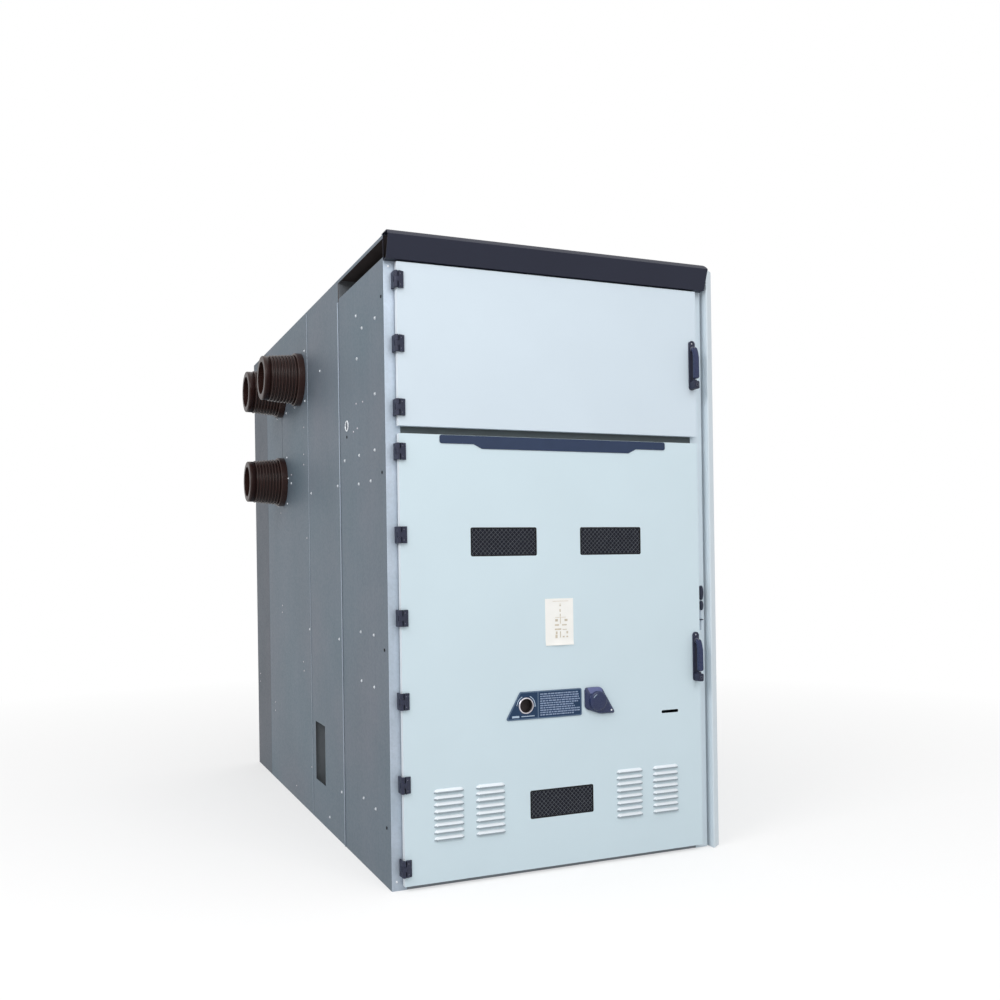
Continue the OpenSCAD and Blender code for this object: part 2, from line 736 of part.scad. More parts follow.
// Shallow strip along the top of the lower door, deeper in its middle
module title_strip() color("#2c3f66") front_prism(0, ydoor, low_z1 - 1, strip_t) {
    low = strip_step - strip_h;
    inner = strip_w - strip_end;
    slope = 2 * strip_step;
    polygon(rounded([[strip_w, 0], [-strip_w, 0], [-strip_w, low], [-inner, low],
                     [slope - inner, -strip_h], [inner - slope, -strip_h], [inner, low],
                     [strip_w, low]], strip_step / 2));
}

module window_panes() color("#22252b") for (p = WINDOWS)
    block(p[0] - win_w / 2 - pane_lap, ydoor + door_t, p[1] - win_h / 2 - pane_lap,
          win_w + 2 * pane_lap, pane_t, win_h + 2 * pane_lap);

// Plate with a raised rim and a dividing rib, pierced for the racking sleeve
module operating_plate() color("#24405f") difference() {
    corner_r = 7;
    rim_out = 1.2;
    field = rounded(inset(PLATE, plate_rim), corner_r - plate_rim / 2);
    union() {
        front_prism(0, ydoor, panel_z, plate_t) polygon(rounded(PLATE, corner_r));
        difference() {
            front_prism(0, ydoor, panel_z, plate_t + rim_out) polygon(rounded(PLATE, corner_r));
            front_prism(0, ydoor - plate_t, panel_z, plate_t) polygon(field);
        }
        front_prism(-plate_div, ydoor, panel_z, plate_t + rim_out)
            square([plate_rim, panel_h - plate_rim], center = true);
    }
    front_prism(-panel_x, ydoor + 1, panel_z, 2 * plate_t + 2) circle(r = rack_r + rack_t);
}

// Bright ring through the operating plate and the door sheet
module racking_sleeve() color("#b8bcc0") translate([-panel_x, ydoor, panel_z]) rotate([90, 0, 0])
    rotate_extrude() {
        outer = rack_r + rack_t;
        flange = outer + 3;
        behind = -door_t - 3;
        polygon([[rack_r, behind], [outer, behind], [outer, plate_t], [flange, plate_t],
                 [flange, plate_t + 2], [flange - 2, plate_t + 4], [rack_r, plate_t + 4]]);
    }

// Moulded cover of the emergency trip: a stepped body with a round turret and a lug hole
module trip_cover() color("#1d1f2a") difference() {
    x0 = plate_end + trip_gap;
    chamfer = [72, 26];
    lug = [25, 15];
    lug_r = 4;
    outline = [[x0, panel_h / 2], [x0, chamfer[1] - panel_h / 2], [x0 + chamfer[0], -panel_h / 2],
               [panel_w, -panel_h / 2], [panel_w - panel_lean, panel_h / 2]];
    corner_r = 13;
    edge = 2.5;
    turret_h = 13;
    union() {
        for (k = [0:3]) front_prism(0, ydoor, panel_z, trip_t - edge * (3 - k))
            polygon(rounded(inset(outline, edge * k), corner_r - edge * k));
        translate([panel_x + 4, ydoor - trip_t, panel_z]) rotate([90, 0, 0]) rotate_extrude() union() {
            square([trip_r - turret_h / 2, turret_h]);
            square([trip_r, turret_h / 2]);
            translate([trip_r - turret_h / 2, turret_h / 2]) circle(r = turret_h / 2);
        }
    }
    front_prism(panel_w - lug[0], ydoor - trip_t / 2, panel_z - panel_h / 2 + lug[1], trip_t)
        circle(r = lug_r);
}

module diagram_sheet() color("#f4f2ec")
    block(-paper_w / 2 - 2, ydoor - 1, paper_z - paper_h / 2, paper_w, 1, paper_h);

base_frame();
floor_plates();
left_front_wall();
left_middle_wall();
left_rear_wall();
left_end_wall();
right_wall();
end_panel();
mid_rail();
top_rail();
header();
duct_floor();
roof_front();
roof_middle();
roof_rear();
relief_flaps();
shelf();
instrument_back();
truck_partition();
rear_cover_upper();
rear_cover_lower();
bushing_front();
bushing_rear();
bushing_low();
instrument_hinge_frames();
breaker_hinge_frames();
latch_keeper();
instrument_door();
instrument_hinge_leaves();
instrument_handle_base();
instrument_handle_hub();
instrument_handle_lever();
breaker_door();
breaker_hinge_leaves();
breaker_handle_base();
breaker_handle_hub();
breaker_handle_lever();
title_strip();
window_panes();
operating_plate();
racking_sleeve();
trip_cover();
diagram_sheet();
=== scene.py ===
"""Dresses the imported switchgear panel: finishes, fasteners, seals, wire mesh, prints, studio and camera."""

from __future__ import annotations

import json
import logging
import math
import random
from collections.abc import Callable
from dataclasses import dataclass, field
from enum import Enum

import bmesh
import bpy
from bpy.types import Material, Mesh, MeshPolygon, Node, NodeSocket, NodeTree, Object
from mathutils import Matrix, Vector

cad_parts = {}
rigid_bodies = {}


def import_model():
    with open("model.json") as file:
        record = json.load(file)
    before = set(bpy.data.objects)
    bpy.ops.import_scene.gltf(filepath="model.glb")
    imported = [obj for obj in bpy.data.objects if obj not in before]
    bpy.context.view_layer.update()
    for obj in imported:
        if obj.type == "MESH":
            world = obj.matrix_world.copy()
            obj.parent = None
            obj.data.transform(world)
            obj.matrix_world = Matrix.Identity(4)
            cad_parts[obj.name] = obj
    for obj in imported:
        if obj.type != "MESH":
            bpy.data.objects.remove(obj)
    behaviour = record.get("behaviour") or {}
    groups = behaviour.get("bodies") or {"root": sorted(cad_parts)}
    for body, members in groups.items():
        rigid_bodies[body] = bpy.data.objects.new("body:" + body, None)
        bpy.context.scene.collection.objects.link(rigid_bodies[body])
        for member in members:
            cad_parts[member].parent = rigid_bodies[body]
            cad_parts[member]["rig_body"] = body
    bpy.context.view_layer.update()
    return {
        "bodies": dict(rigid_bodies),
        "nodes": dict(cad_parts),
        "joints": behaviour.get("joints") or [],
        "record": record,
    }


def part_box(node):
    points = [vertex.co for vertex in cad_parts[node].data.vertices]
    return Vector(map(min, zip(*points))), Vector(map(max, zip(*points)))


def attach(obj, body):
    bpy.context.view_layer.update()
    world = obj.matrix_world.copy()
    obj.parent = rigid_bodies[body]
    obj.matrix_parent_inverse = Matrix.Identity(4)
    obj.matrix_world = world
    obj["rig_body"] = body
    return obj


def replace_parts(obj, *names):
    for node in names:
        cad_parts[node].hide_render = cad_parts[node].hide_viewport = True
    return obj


Color = tuple[float, float, float, float]
Pair = tuple[float, float]
Triple = tuple[float, float, float]

LOG = logging.getLogger("panel")
MM = 0.001
DOORS = ("instrument_door", "breaker_door")
WHITE: Color = (1.0, 1.0, 1.0, 1.0)
# Limits between which most values of a noise or crystal pattern lie
MIDDLE = {"From Min": 0.25, "From Max": 0.75}
# Radius in millimetres that stands for the axis in a turned outline
AXIS = 0.02


def linear(code: str) -> Color:
    """Turn an sRGB hex colour into linear RGBA.

    Args:
        code: Colour such as "#CDDEE6".

    Returns:
        Linear red, green, blue and an alpha of 1.
    """
    parts = [int(code[i : i + 2], 16) / 255 for i in (1, 3, 5)]
    red, green, blue = (c / 12.92 if c <= 0.04045 else ((c + 0.055) / 1.055) ** 2.4 for c in parts)
    return (red, green, blue, 1.0)


def feed(tree: NodeTree, node: Node, inputs: dict) -> None:
    """Set a node's inputs or link them.

    Args:
        tree: Node tree of a material or the world.
        node: Node to feed.
        inputs: Socket name or number to a value or to another node's output.
    """
    for key, value in inputs.items():
        if isinstance(value, NodeSocket):
            tree.links.new(value, node.inputs[key])
        else:
            node.inputs[key].default_value = value


def add_node(tree: NodeTree, kind: str, inputs: dict | None = None, **settings: object) -> Node:
    """Add one shader node with its settings and inputs.

    Args:
        tree: Node tree of a material or the world.
        kind: Node type, without its ShaderNode prefix.
        inputs: Socket name or number to a value or to another node's output.
        settings: Attributes of the node.

    Returns:
        The new node.
    """
    node = tree.nodes.new("ShaderNode" + kind)
    for name, value in settings.items():
        setattr(node, name, value)
    feed(tree, node, inputs or {})
    return node


def patches(
    tree: NodeTree, place: NodeSocket, size: float, detail: float, low: float, high: float
) -> NodeSocket:
    """Add soft uneven patches as values between two limits.

    Args:
        tree: Node tree of the material.
        place: Output that carries the coordinates.
        size: Size of a patch in metres.
        detail: Number of finer layers.
        low: Value of the darkest patches.
        high: Value of the brightest patches.

    Returns:
        The output that carries the values.
    """
    noise = add_node(tree, "TexNoise", {"Vector": place, "Scale": 1 / size, "Detail": detail})
    limits = {"Value": noise.outputs[0], **MIDDLE, "To Min": low, "To Max": high}
    return add_node(tree, "MapRange", limits).outputs["Result"]


def shift(x: float, y: float, z: float) -> Matrix:
    """Move by a distance in millimetres."""
    return Matrix.Translation(Vector((x, y, z)) * MM)


def door_face() -> float:
    """Depth of the doors' outer face in millimetres."""
    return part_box("instrument_door")[0].y / MM


def both(part: str) -> tuple[str, str]:
    """Names of a part that each of the two doors has."""
    return ("instrument_" + part, "breaker_" + part)


class Face(Enum):
    """Sides of the cabinet that a fitting can look out from, as outward directions."""

    FRONT = (0.0, -1.0, 0.0)
    LEFT = (-1.0, 0.0, 0.0)
    REAR = (0.0, 1.0, 0.0)
    TOP = (0.0, 0.0, 1.0)

    def at(self, x: float, y: float, z: float) -> Matrix:
        """Place whose local Z looks outward and whose local Y points up, or rearward on top.

        Args:
            x: Place along the width, in millimetres.
            y: Place along the depth, in millimetres.
            z: Height, in millimetres.

        Returns:
            Matrix in metres.
        """
        out = Vector(self.value)
        up = Vector((0, 1, 0)) if self is Face.TOP else Vector((0, 0, 1))
        return shift(x, y, z) @ Matrix((up.cross(out), up, out)).transposed().to_4x4()


@dataclass(frozen=True)
class Finish:
    """A surface finish: its real material's name, main colour and gloss.

    Attributes:
        name: Name of the material.
        tone: Main colour.
        roughness: Spread of the reflections.
        metallic: 1 for bare metal.
        cloud: Size in metres of faint uneven patches.
        uneven: Share by which those patches change the brightness.
        grain: Size in metres of the surface's fine relief, drawn coarse enough to show.
        relief: Height in metres of that relief.
        shine: Strength of the mirror reflection of a coating.
    """

    name: str
    tone: str
    roughness: float
    metallic: float = 0.0
    cloud: float = 0.35
    uneven: float = 0.03
    grain: float = 0.002
    relief: float = 0.0
    shine: float = 0.4

    def build(self) -> Material:
        """Make the material, or return it if it has been made.

        Returns:
            The node material.
        """
        known = bpy.data.materials.get(self.name)
        if known:
            return known
        material = bpy.data.materials.new(self.name)
        material.use_nodes = True
        tree = material.node_tree
        shader = tree.nodes["Principled BSDF"]
        plain = {"Roughness": self.roughness, "Metallic": self.metallic, "Specular IOR Level": self.shine}
        feed(tree, shader, plain)
        self.dress(tree, shader, add_node(tree, "TexCoord").outputs["Object"])
        material.diffuse_color = linear(self.tone)
        return material

    def paint(
        self, tree: NodeTree, shader: Node, *shades: NodeSocket, tone: NodeSocket | None = None
    ) -> None:
        """Colour the shader, its brightness multiplied by every shade.

        Args:
            tree: Node tree of the material.
            shader: Shader to colour.
            shades: Outputs that carry shares of brightness.
            tone: Output that carries the colour, or nothing for the finish's own tone.
        """
        total = shades[0]
        for shade in shades[1:]:
            total = add_node(tree, "Math", {0: total, 1: shade}, operation="MULTIPLY").outputs[0]
        hue = add_node(tree, "HueSaturation", {"Color": tone or linear(self.tone), "Value": total})
        feed(tree, shader, {"Base Color": hue.outputs["Color"]})

    def dress(self, tree: NodeTree, shader: Node, place: NodeSocket) -> None:
        """Add the patterns of a plain coated or moulded surface: faint clouds and a fine grain.

        Args:
            tree: Node tree of the material.
            shader: Shader to dress.
            place: Output that carries the object's coordinates.
        """
        self.paint(tree, shader, patches(tree, place, self.cloud, 4.0, 1 - self.uneven, 1 + self.uneven))
        gloss = patches(tree, place, self.grain, 2.0, self.roughness * 0.88, self.roughness * 1.12)
        feed(tree, shader, {"Roughness": gloss})
        if self.relief:
            grain = add_node(tree, "TexNoise", {"Vector": place, "Scale": 1 / self.grain, "Detail": 2.0})
            bump = {"Height": grain.outputs[0], "Strength": 1.0, "Distance": self.relief}
            feed(tree, shader, {"Normal": add_node(tree, "Bump", bump).outputs["Normal"]})


@dataclass(frozen=True)
class ZincSheet(Finish):
    """Aluminium-zinc coated sheet: small crystals, faint rolling streaks and dull handling marks.

    Attributes:
        crystal: Size in metres of one crystal of the coating, drawn coarse enough to show.
        streak: Width in metres of a rolling streak.
        glint: Share by which crystals and streaks change the brightness.
        stain: Second colour, of the duller patches.
        fade: Share of brightness gained at the top and lost at the floor, as painted light that falls from
            above.
        tall: Height of the cabinet in metres.
    """

    crystal: float = 0.009
    streak: float = 0.02
    glint: float = 0.03
    stain: str = "#6E7079"
    fade: float = 0.0
    tall: float = 2.6

    def dress(self, tree: NodeTree, shader: Node, place: NodeSocket) -> None:
        """Add crystals, streaks along the height and large dull patches.

        Args:
            tree: Node tree of the material.
            shader: Shader to dress.
            place: Output that carries the object's coordinates.
        """
        crystals = add_node(tree, "TexVoronoi", {"Vector": place, "Scale": 1 / self.crystal})
        flake = add_node(tree, "SeparateColor", {"Color": crystals.outputs["Color"]}).outputs["Red"]
        light = {"Value": flake, **MIDDLE, "To Min": 1 - self.glint, "To Max": 1 + self.glint}
        gloss = {"Value": flake, **MIDDLE, "To Min": self.roughness - 0.05, "To Max": self.roughness + 0.05}
        long = add_node(tree, "Mapping", {"Vector": place, "Scale": (1 / self.streak, 1 / self.streak, 0.8)})
        height = add_node(tree, "SeparateXYZ", {0: place}).outputs["Z"]
        # Painted light: brighter at the top and darker towards the floor by the share fade.
        rise = {"Value": height, "From Max": self.tall, "To Min": 1 - self.fade, "To Max": 1 + self.fade}
        shades = (
            add_node(tree, "MapRange", light).outputs["Result"],
            patches(tree, long.outputs["Vector"], 1.0, 3.0, 1 - self.glint, 1 + self.glint),
            patches(tree, place, self.cloud, 5.0, 1 - self.uneven, 1 + self.uneven),
            add_node(tree, "MapRange", rise).outputs["Result"],
        )
        share = patches(tree, place, 2 * self.cloud, 3.0, 0.0, 1.0)
        colours = {0: share, 6: linear(self.tone), 7: linear(self.stain)}
        self.paint(tree, shader, *shades, tone=add_node(tree, "Mix", colours, data_type="RGBA").outputs[2])
        feed(tree, shader, {"Roughness": add_node(tree, "MapRange", gloss).outputs["Result"]})


@dataclass(frozen=True)
class PowderCoat(Finish):
    """Baked powder coat: a fine orange-peel skin that softens reflections."""

    roughness: float = 0.45
    uneven: float = 0.015
    grain: float = 0.0025
    relief: float = 0.00003


@dataclass(frozen=True)
class SmallMetal(Finish):
    """Metal of a small part, with marks that are small too."""

    cloud: float = 0.02
    grain: float = 0.001


@dataclass(frozen=True)
class CastResin(Finish):
    """Cast epoxy resin: glossy, with a thin clear skin and cloudy pigment.

    Attributes:
        skin: Share of the clear glossy skin.
        skin_roughness: Spread of that skin's reflections.
    """

    skin: float = 0.12
    skin_roughness: float = 0.3

    def dress(self, tree: NodeTree, shader: Node, place: NodeSocket) -> None:
        """Add the plain patterns and the glossy skin."""
        super().dress(tree, shader, place)
        feed(tree, shader, {"Coat Weight": self.skin, "Coat Roughness": self.skin_roughness})


@dataclass(frozen=True)
class SmokedGlass(Finish):
    """Toughened glass with a dark tint: clear through its thickness and mirror-smooth outside.

    Attributes:
        clear: Share of the light that passes.
        ior: Refractive index.
    """

    clear: float = 0.25
    ior: float = 1.5

    def dress(self, tree: NodeTree, shader: Node, place: NodeSocket) -> None:
        """Let light through and cloud the tint a little."""
        super().dress(tree, shader, place)
        feed(tree, shader, {"Transmission Weight": self.clear, "IOR": self.ior})


# Rolled sheet with a dull grey metal sheen, its tone darkened as a painted reflection of dark surroundings
SIDE_SHEET = ZincSheet(
    "zinc_coated_sheet_dull", "#61737F", 0.55, metallic=0.45, uneven=0.07, stain="#69707B"
)
# The same sheet, darker and duller
DARKER_SHEET = ZincSheet(
    "zinc_coated_sheet_darker", "#5A646E", 0.6, metallic=0.4, uneven=0.1, stain="#5E6169"
)
# The same sheet, bluish and lighter where it faces the front as painted light, and darker towards the floor
# as painted light that falls from above
POST_SHEET = ZincSheet(
    "zinc_coated_sheet_bright", "#ABB9C7", 0.45,
    metallic=0.25, cloud=0.12, uneven=0.07, stain="#B4BFCC", fade=0.09,
)
# The same sheet in the shade inside the compartments
INNER_SHEET = ZincSheet(
    "zinc_coated_sheet_inner", "#868D93", 0.55, metallic=0.45, uneven=0.06, stain="#85898F"
)
# Dark dull sheet of the rail between the doors: painted shade of the gap between them
RAIL_SHADE = Finish("rail_painted_shade", "#5A6163", 0.6, uneven=0.08, cloud=0.1, relief=0.00003, shine=0.2)
# Brownish black and dull: painted shade inside the open wiring duct, under the front roof's edge and in the
# cup behind the racking hole
DUCT_SHADE = Finish("duct_painted_shade", "#4A4444", 0.6, uneven=0.1, cloud=0.1, relief=0.00003, shine=0.15)
# Powder coat of the lower door, pale with a soft sheen
DOOR_COAT = PowderCoat("powder_coat_pale_blue", "#CDDEE6")
# The same powder coat from another batch, less green
UPPER_COAT = PowderCoat("powder_coat_pale_lilac", "#CFDCE6")
# The same powder coat, paler: a painted highlight on the upper faces of the pressed hoods and on the doors'
# turned-back left edges
HIGHLIGHT_COAT = PowderCoat("powder_coat_painted_highlight", "#E3EAF0", 0.42, uneven=0.02, cloud=0.05, relief=0.00002)
# Lower lips of the pressed hoods, grey: painted shade under each hood
LIP_SHADE = Finish("powder_coat_painted_lip_shade", "#929EA6", 0.6, uneven=0.08, cloud=0.03, shine=0.2)
# The same powder coat in a greyer shade
END_COAT = PowderCoat("powder_coat_pale_grey", "#D4E0E8", uneven=0.012)
# Satin powder coat, nearly black with a blue cast
HEADER_COAT = PowderCoat("powder_coat_navy", "#262938", 0.42, uneven=0.05, shine=0.22)
# Screen-printed strip, navy with a soft sheen
STRIP_COAT = Finish("printed_strip_navy", "#2A3853", 0.42, uneven=0.06, cloud=0.06, grain=0.001, shine=0.25)
# Zinc die casting with a dark textured coat
CASTING = Finish(
    "die_cast_zinc_dark", "#292D40", 0.45, uneven=0.22, cloud=0.015, grain=0.0012, relief=0.00006, shine=0.3
)
# Turned steel parts, a soft bright metal
TURNED_STEEL = SmallMetal("turned_steel", "#D2CED4", 0.3, metallic=0.85)
# The same steel, blackened and rubbed, so that it glints only at its edges
DARK_STEEL = SmallMetal("burnished_steel", "#6A6C78", 0.36, metallic=0.8, uneven=0.08)
# Zinc-plated fasteners, pale and bright
ZINC_PLATE = SmallMetal("zinc_plated_steel", "#E6EAEE", 0.35, metallic=0.4)
# Dull steel wire of the guard mesh
MESH_WIRE = SmallMetal("galvanised_wire", "#5C6064", 0.5, metallic=0.2, uneven=0.2, shine=0.2)
# Dark brown-red casting resin with broad soft highlights
BUSHING_RESIN = CastResin(
    "cast_epoxy_brown", "#2B1611", 0.4, uneven=0.2, cloud=0.05, grain=0.004, relief=0.0001, shine=0.26
)
# Printed plastic plate with a deep blue field
PLATE_BLUE = Finish(
    "printed_polycarbonate_blue", "#1F3856", 0.42, uneven=0.06, cloud=0.05, grain=0.001, shine=0.25
)
# The plate's raised rim, rubbed to a greyer blue
PLATE_RIM = Finish(
    "printed_polycarbonate_rim", "#566B84", 0.5, uneven=0.1, cloud=0.03, grain=0.001, shine=0.3
)
# Pale ink on that plate
PALE_INK = Finish("screen_ink_pale", "#AFC2D6", 0.55, uneven=0.12, cloud=0.008, grain=0.001)
# Thinner ink of the small print
DIM_INK = Finish("screen_ink_dim", "#8798B4", 0.55, uneven=0.2, cloud=0.006, grain=0.001)
# Moulded thermoplastic with a fine spark-eroded grain
MOULDING = Finish(
    "moulded_nylon_dark", "#232D50", 0.27, uneven=0.08, cloud=0.04, grain=0.0012, relief=0.00003
)
# The same moulding, paler where its slopes face up: painted light from above
LIT_MOULDING = Finish(
    "moulded_nylon_painted_light", "#5F6690", 0.45, uneven=0.12, cloud=0.03, grain=0.0012, shine=0.3
)
# Extruded rubber seal, black and dull
RUBBER = Finish(
    "epdm_rubber", "#191A1D", 0.7, uneven=0.1, cloud=0.03, grain=0.0015, relief=0.00006, shine=0.15
)
# Smoked viewing glass, nearly black with a clear mirror
GLASS = SmokedGlass("smoked_glass", "#131728", 0.1, uneven=0.05, shine=0.1)
# Office paper with a faint fibre
PAPER = Finish("printed_paper", "#F4F3EF", 0.8, uneven=0.02, cloud=0.05, grain=0.0008, relief=0.00002)
# Thin brown line work on the paper
BROWN_INK = Finish("brown_ink", "#CFC4B2", 0.8, uneven=0.15, cloud=0.015, grain=0.001)


class Sketch:
    """A mesh in the making: solids are added one by one, become a single piece, and the next one starts."""

    def __init__(self) -> None:
        """Start with nothing."""
        self.mesh = bmesh.new()

    def prism(self, at: Matrix, radius: float, height: float, sides: int = 24, edge: float = 0.0) -> None:
        """Add a round or polygonal disc that stands on its place.

        Args:
            at: Place of the middle of its foot.
            radius: Radius in millimetres.
            height: Height in millimetres.
            sides: Number of sides.
            edge: Rounding of its top edge in millimetres.
        """
        made = bmesh.ops.create_cone(
            self.mesh,
            cap_ends=True,
            segments=sides,
            radius1=radius * MM,
            radius2=radius * MM,
            depth=height * MM,
            matrix=at @ shift(0, 0, height / 2),
        )
        if edge:
            back = at.inverted()
            top = {v for v in made["verts"] if (back @ v.co).z > height * MM / 2}
            near = {e for v in top for e in v.link_edges}
            self.round_edges([e for e in near if set(e.verts) <= top], edge)

    def block(self, at: Matrix, width: float, height: float, depth: float, edge: float = 0.0) -> None:
        """Add a box that stands on its place.

        Args:
            at: Place of the middle of its foot.
            width: Size along local X in millimetres.
            height: Size along local Y in millimetres.
            depth: Size along local Z in millimetres.
            edge: Rounding of its edges in millimetres.
        """
        size = Matrix.Diagonal((width * MM, height * MM, depth * MM, 1))
        made = bmesh.ops.create_cube(self.mesh, size=1.0, matrix=at @ shift(0, 0, depth / 2) @ size)
        if edge:
            self.round_edges(list({e for v in made["verts"] for e in v.link_edges}), edge)

    def border(
        self, at: Matrix, width: float, height: float, rim: float, depth: float, edge: float = 0.0
    ) -> None:
        """Add four bars round a rectangle.

        Args:
            at: Place of the rectangle's middle.
            width: Outer size along local X in millimetres.
            height: Outer size along local Y in millimetres.
            rim: Width of a bar in millimetres.
            depth: Thickness of the bars in millimetres.
            edge: Rounding of their edges in millimetres.
        """
        for side in (-1, 1):
            self.block(at @ shift(0, side * (height - rim) / 2, 0), width, rim, depth, edge)
            self.block(at @ shift(side * (width - rim) / 2, 0, 0), rim, height - 2 * rim, depth, edge)

    def rod(self, start: Vector, end: Vector, radius: float, sides: int = 6) -> None:
        """Add a straight wire.

        Args:
            start: One end, in metres.
            end: The other end, in metres.
            radius: Radius in millimetres.
            sides: Number of sides.
        """
        run = end - start
        at = Matrix.Translation(start) @ run.to_track_quat("Z", "Y").to_matrix().to_4x4()
        self.prism(at, radius, run.length / MM, sides)

    def arc(self, at: Matrix, radius: float, width: float, depth: float, start: float, sweep: float) -> None:
        """Add a flat curved bar about local Z.

        Args:
            at: Place of the arc's centre.
            radius: Middle radius in millimetres.
            width: Width of the bar in millimetres.
            depth: Thickness of the bar in millimetres.
            start: Angle at which it begins, in degrees from local X.
            sweep: Angle that it covers, in degrees.
        """
        turn = Matrix.Rotation(math.radians(start), 4, "Z")
        stand = shift(radius, 0, depth / 2) @ Matrix.Rotation(math.radians(90), 4, "X")
        size = Matrix.Diagonal((width * MM, depth * MM, 1, 1))
        place = at @ turn @ stand @ size
        made = bmesh.ops.create_grid(self.mesh, x_segments=1, y_segments=1, size=0.5, matrix=place)
        bmesh.ops.spin(
            self.mesh,
            geom=list({f for v in made["verts"] for f in v.link_faces}),
            cent=at.translation,
            axis=at.col[2].xyz,
            angle=math.radians(sweep),
            steps=max(3, round(sweep / 8)),
        )

    def turn(self, at: Matrix, outline: list[Pair], steps: int = 40) -> None:
        """Add a turned ring: a closed outline spun about local Z.

        Args:
            at: Place of the axis' foot.
            outline: Radius and height of each corner, in millimetres.
            steps: Number of sides.
        """
        dots = [self.mesh.verts.new(at @ (Vector((r, 0, h)) * MM)) for r, h in outline]
        lines = [self.mesh.edges.new(pair) for pair in zip(dots, dots[1:] + dots[:1])]
        bmesh.ops.spin(
            self.mesh,
            geom=dots + lines,
            cent=at.translation,
            axis=at.col[2].xyz,
            angle=math.tau,
            steps=steps,
            use_merge=True,
        )

    def round_edges(self, parts: list, edge: float, steps: int = 2, affect: str = "EDGES") -> None:
        """Round some edges, or the corners of a flat outline.

        Args:
            parts: Edges, or vertices for corners.
            edge: Radius in millimetres.
            steps: Number of sides of the rounding.
            affect: "EDGES" or "VERTICES".
        """
        bmesh.ops.bevel(
            self.mesh,
            geom=parts,
            offset=edge * MM,
            offset_type="OFFSET",
            segments=steps,
            profile=0.5,
            affect=affect,
            clamp_overlap=True,
            material=-1,
        )

    def bolt(self, at: Matrix, radius: float) -> None:
        """Add a hexagon bolt head on its washer."""
        self.prism(at, radius * 1.45, radius * 0.22, 24, 0.3)
        self.prism(at @ shift(0, 0, radius * 0.2), radius, radius * 0.7, 6, radius * 0.16)

    def screw(self, at: Matrix, radius: float) -> None:
        """Add a domed screw head with a hexagon recess.

        Args:
            at: Place of the middle of its foot.
            radius: Radius in millimetres.
        """
        dome = ((0.42, 0.0), (1.0, 0.0), (0.93, 0.3), (0.62, 0.52), (0.42, 0.55))
        self.turn(at, [(radius * r, radius * h) for r, h in dome], 20)
        self.prism(at, radius * 0.45, radius * 0.25, 6)

    def piece(self, name: str, finish: Finish, body: str, slot: str) -> Object:
        """Turn the sketch into a piece that rides on a body, and start afresh.

        Args:
            name: Name of the piece.
            finish: Finish of its surface.
            body: Body that it moves with.
            slot: Material slot of the record that it belongs to; not used.

        Returns:
            The new object.
        """
        bmesh.ops.recalc_face_normals(self.mesh, faces=self.mesh.faces)
        data = bpy.data.meshes.new(name)
        self.mesh.to_mesh(data)
        self.mesh.free()
        self.mesh = bmesh.new()
        smooth = [face.area < 0.002 and face.loop_total < 9 for face in data.polygons]
        data.polygons.foreach_set("use_smooth", smooth)
        data.set_sharp_from_angle(angle=math.radians(18))
        data.materials.append(finish.build())
        thing = bpy.data.objects.new(name, data)
        bpy.context.scene.collection.objects.link(thing)
        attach(thing, body)
        LOG.info("%s: %d faces on %s", name, len(data.polygons), body)
        return thing


def recoat(data: Mesh, finish: Finish, test: Callable[[MeshPolygon], bool]) -> None:
    """Give some faces of a mesh another finish.

    Args:
        data: Mesh of a solid or a piece.
        finish: Finish to add.
        test: Tells whether a face gets it.
    """
    data.materials.append(finish.build())
    for face in data.polygons:
        if test(face):
            face.material_index = len(data.materials) - 1


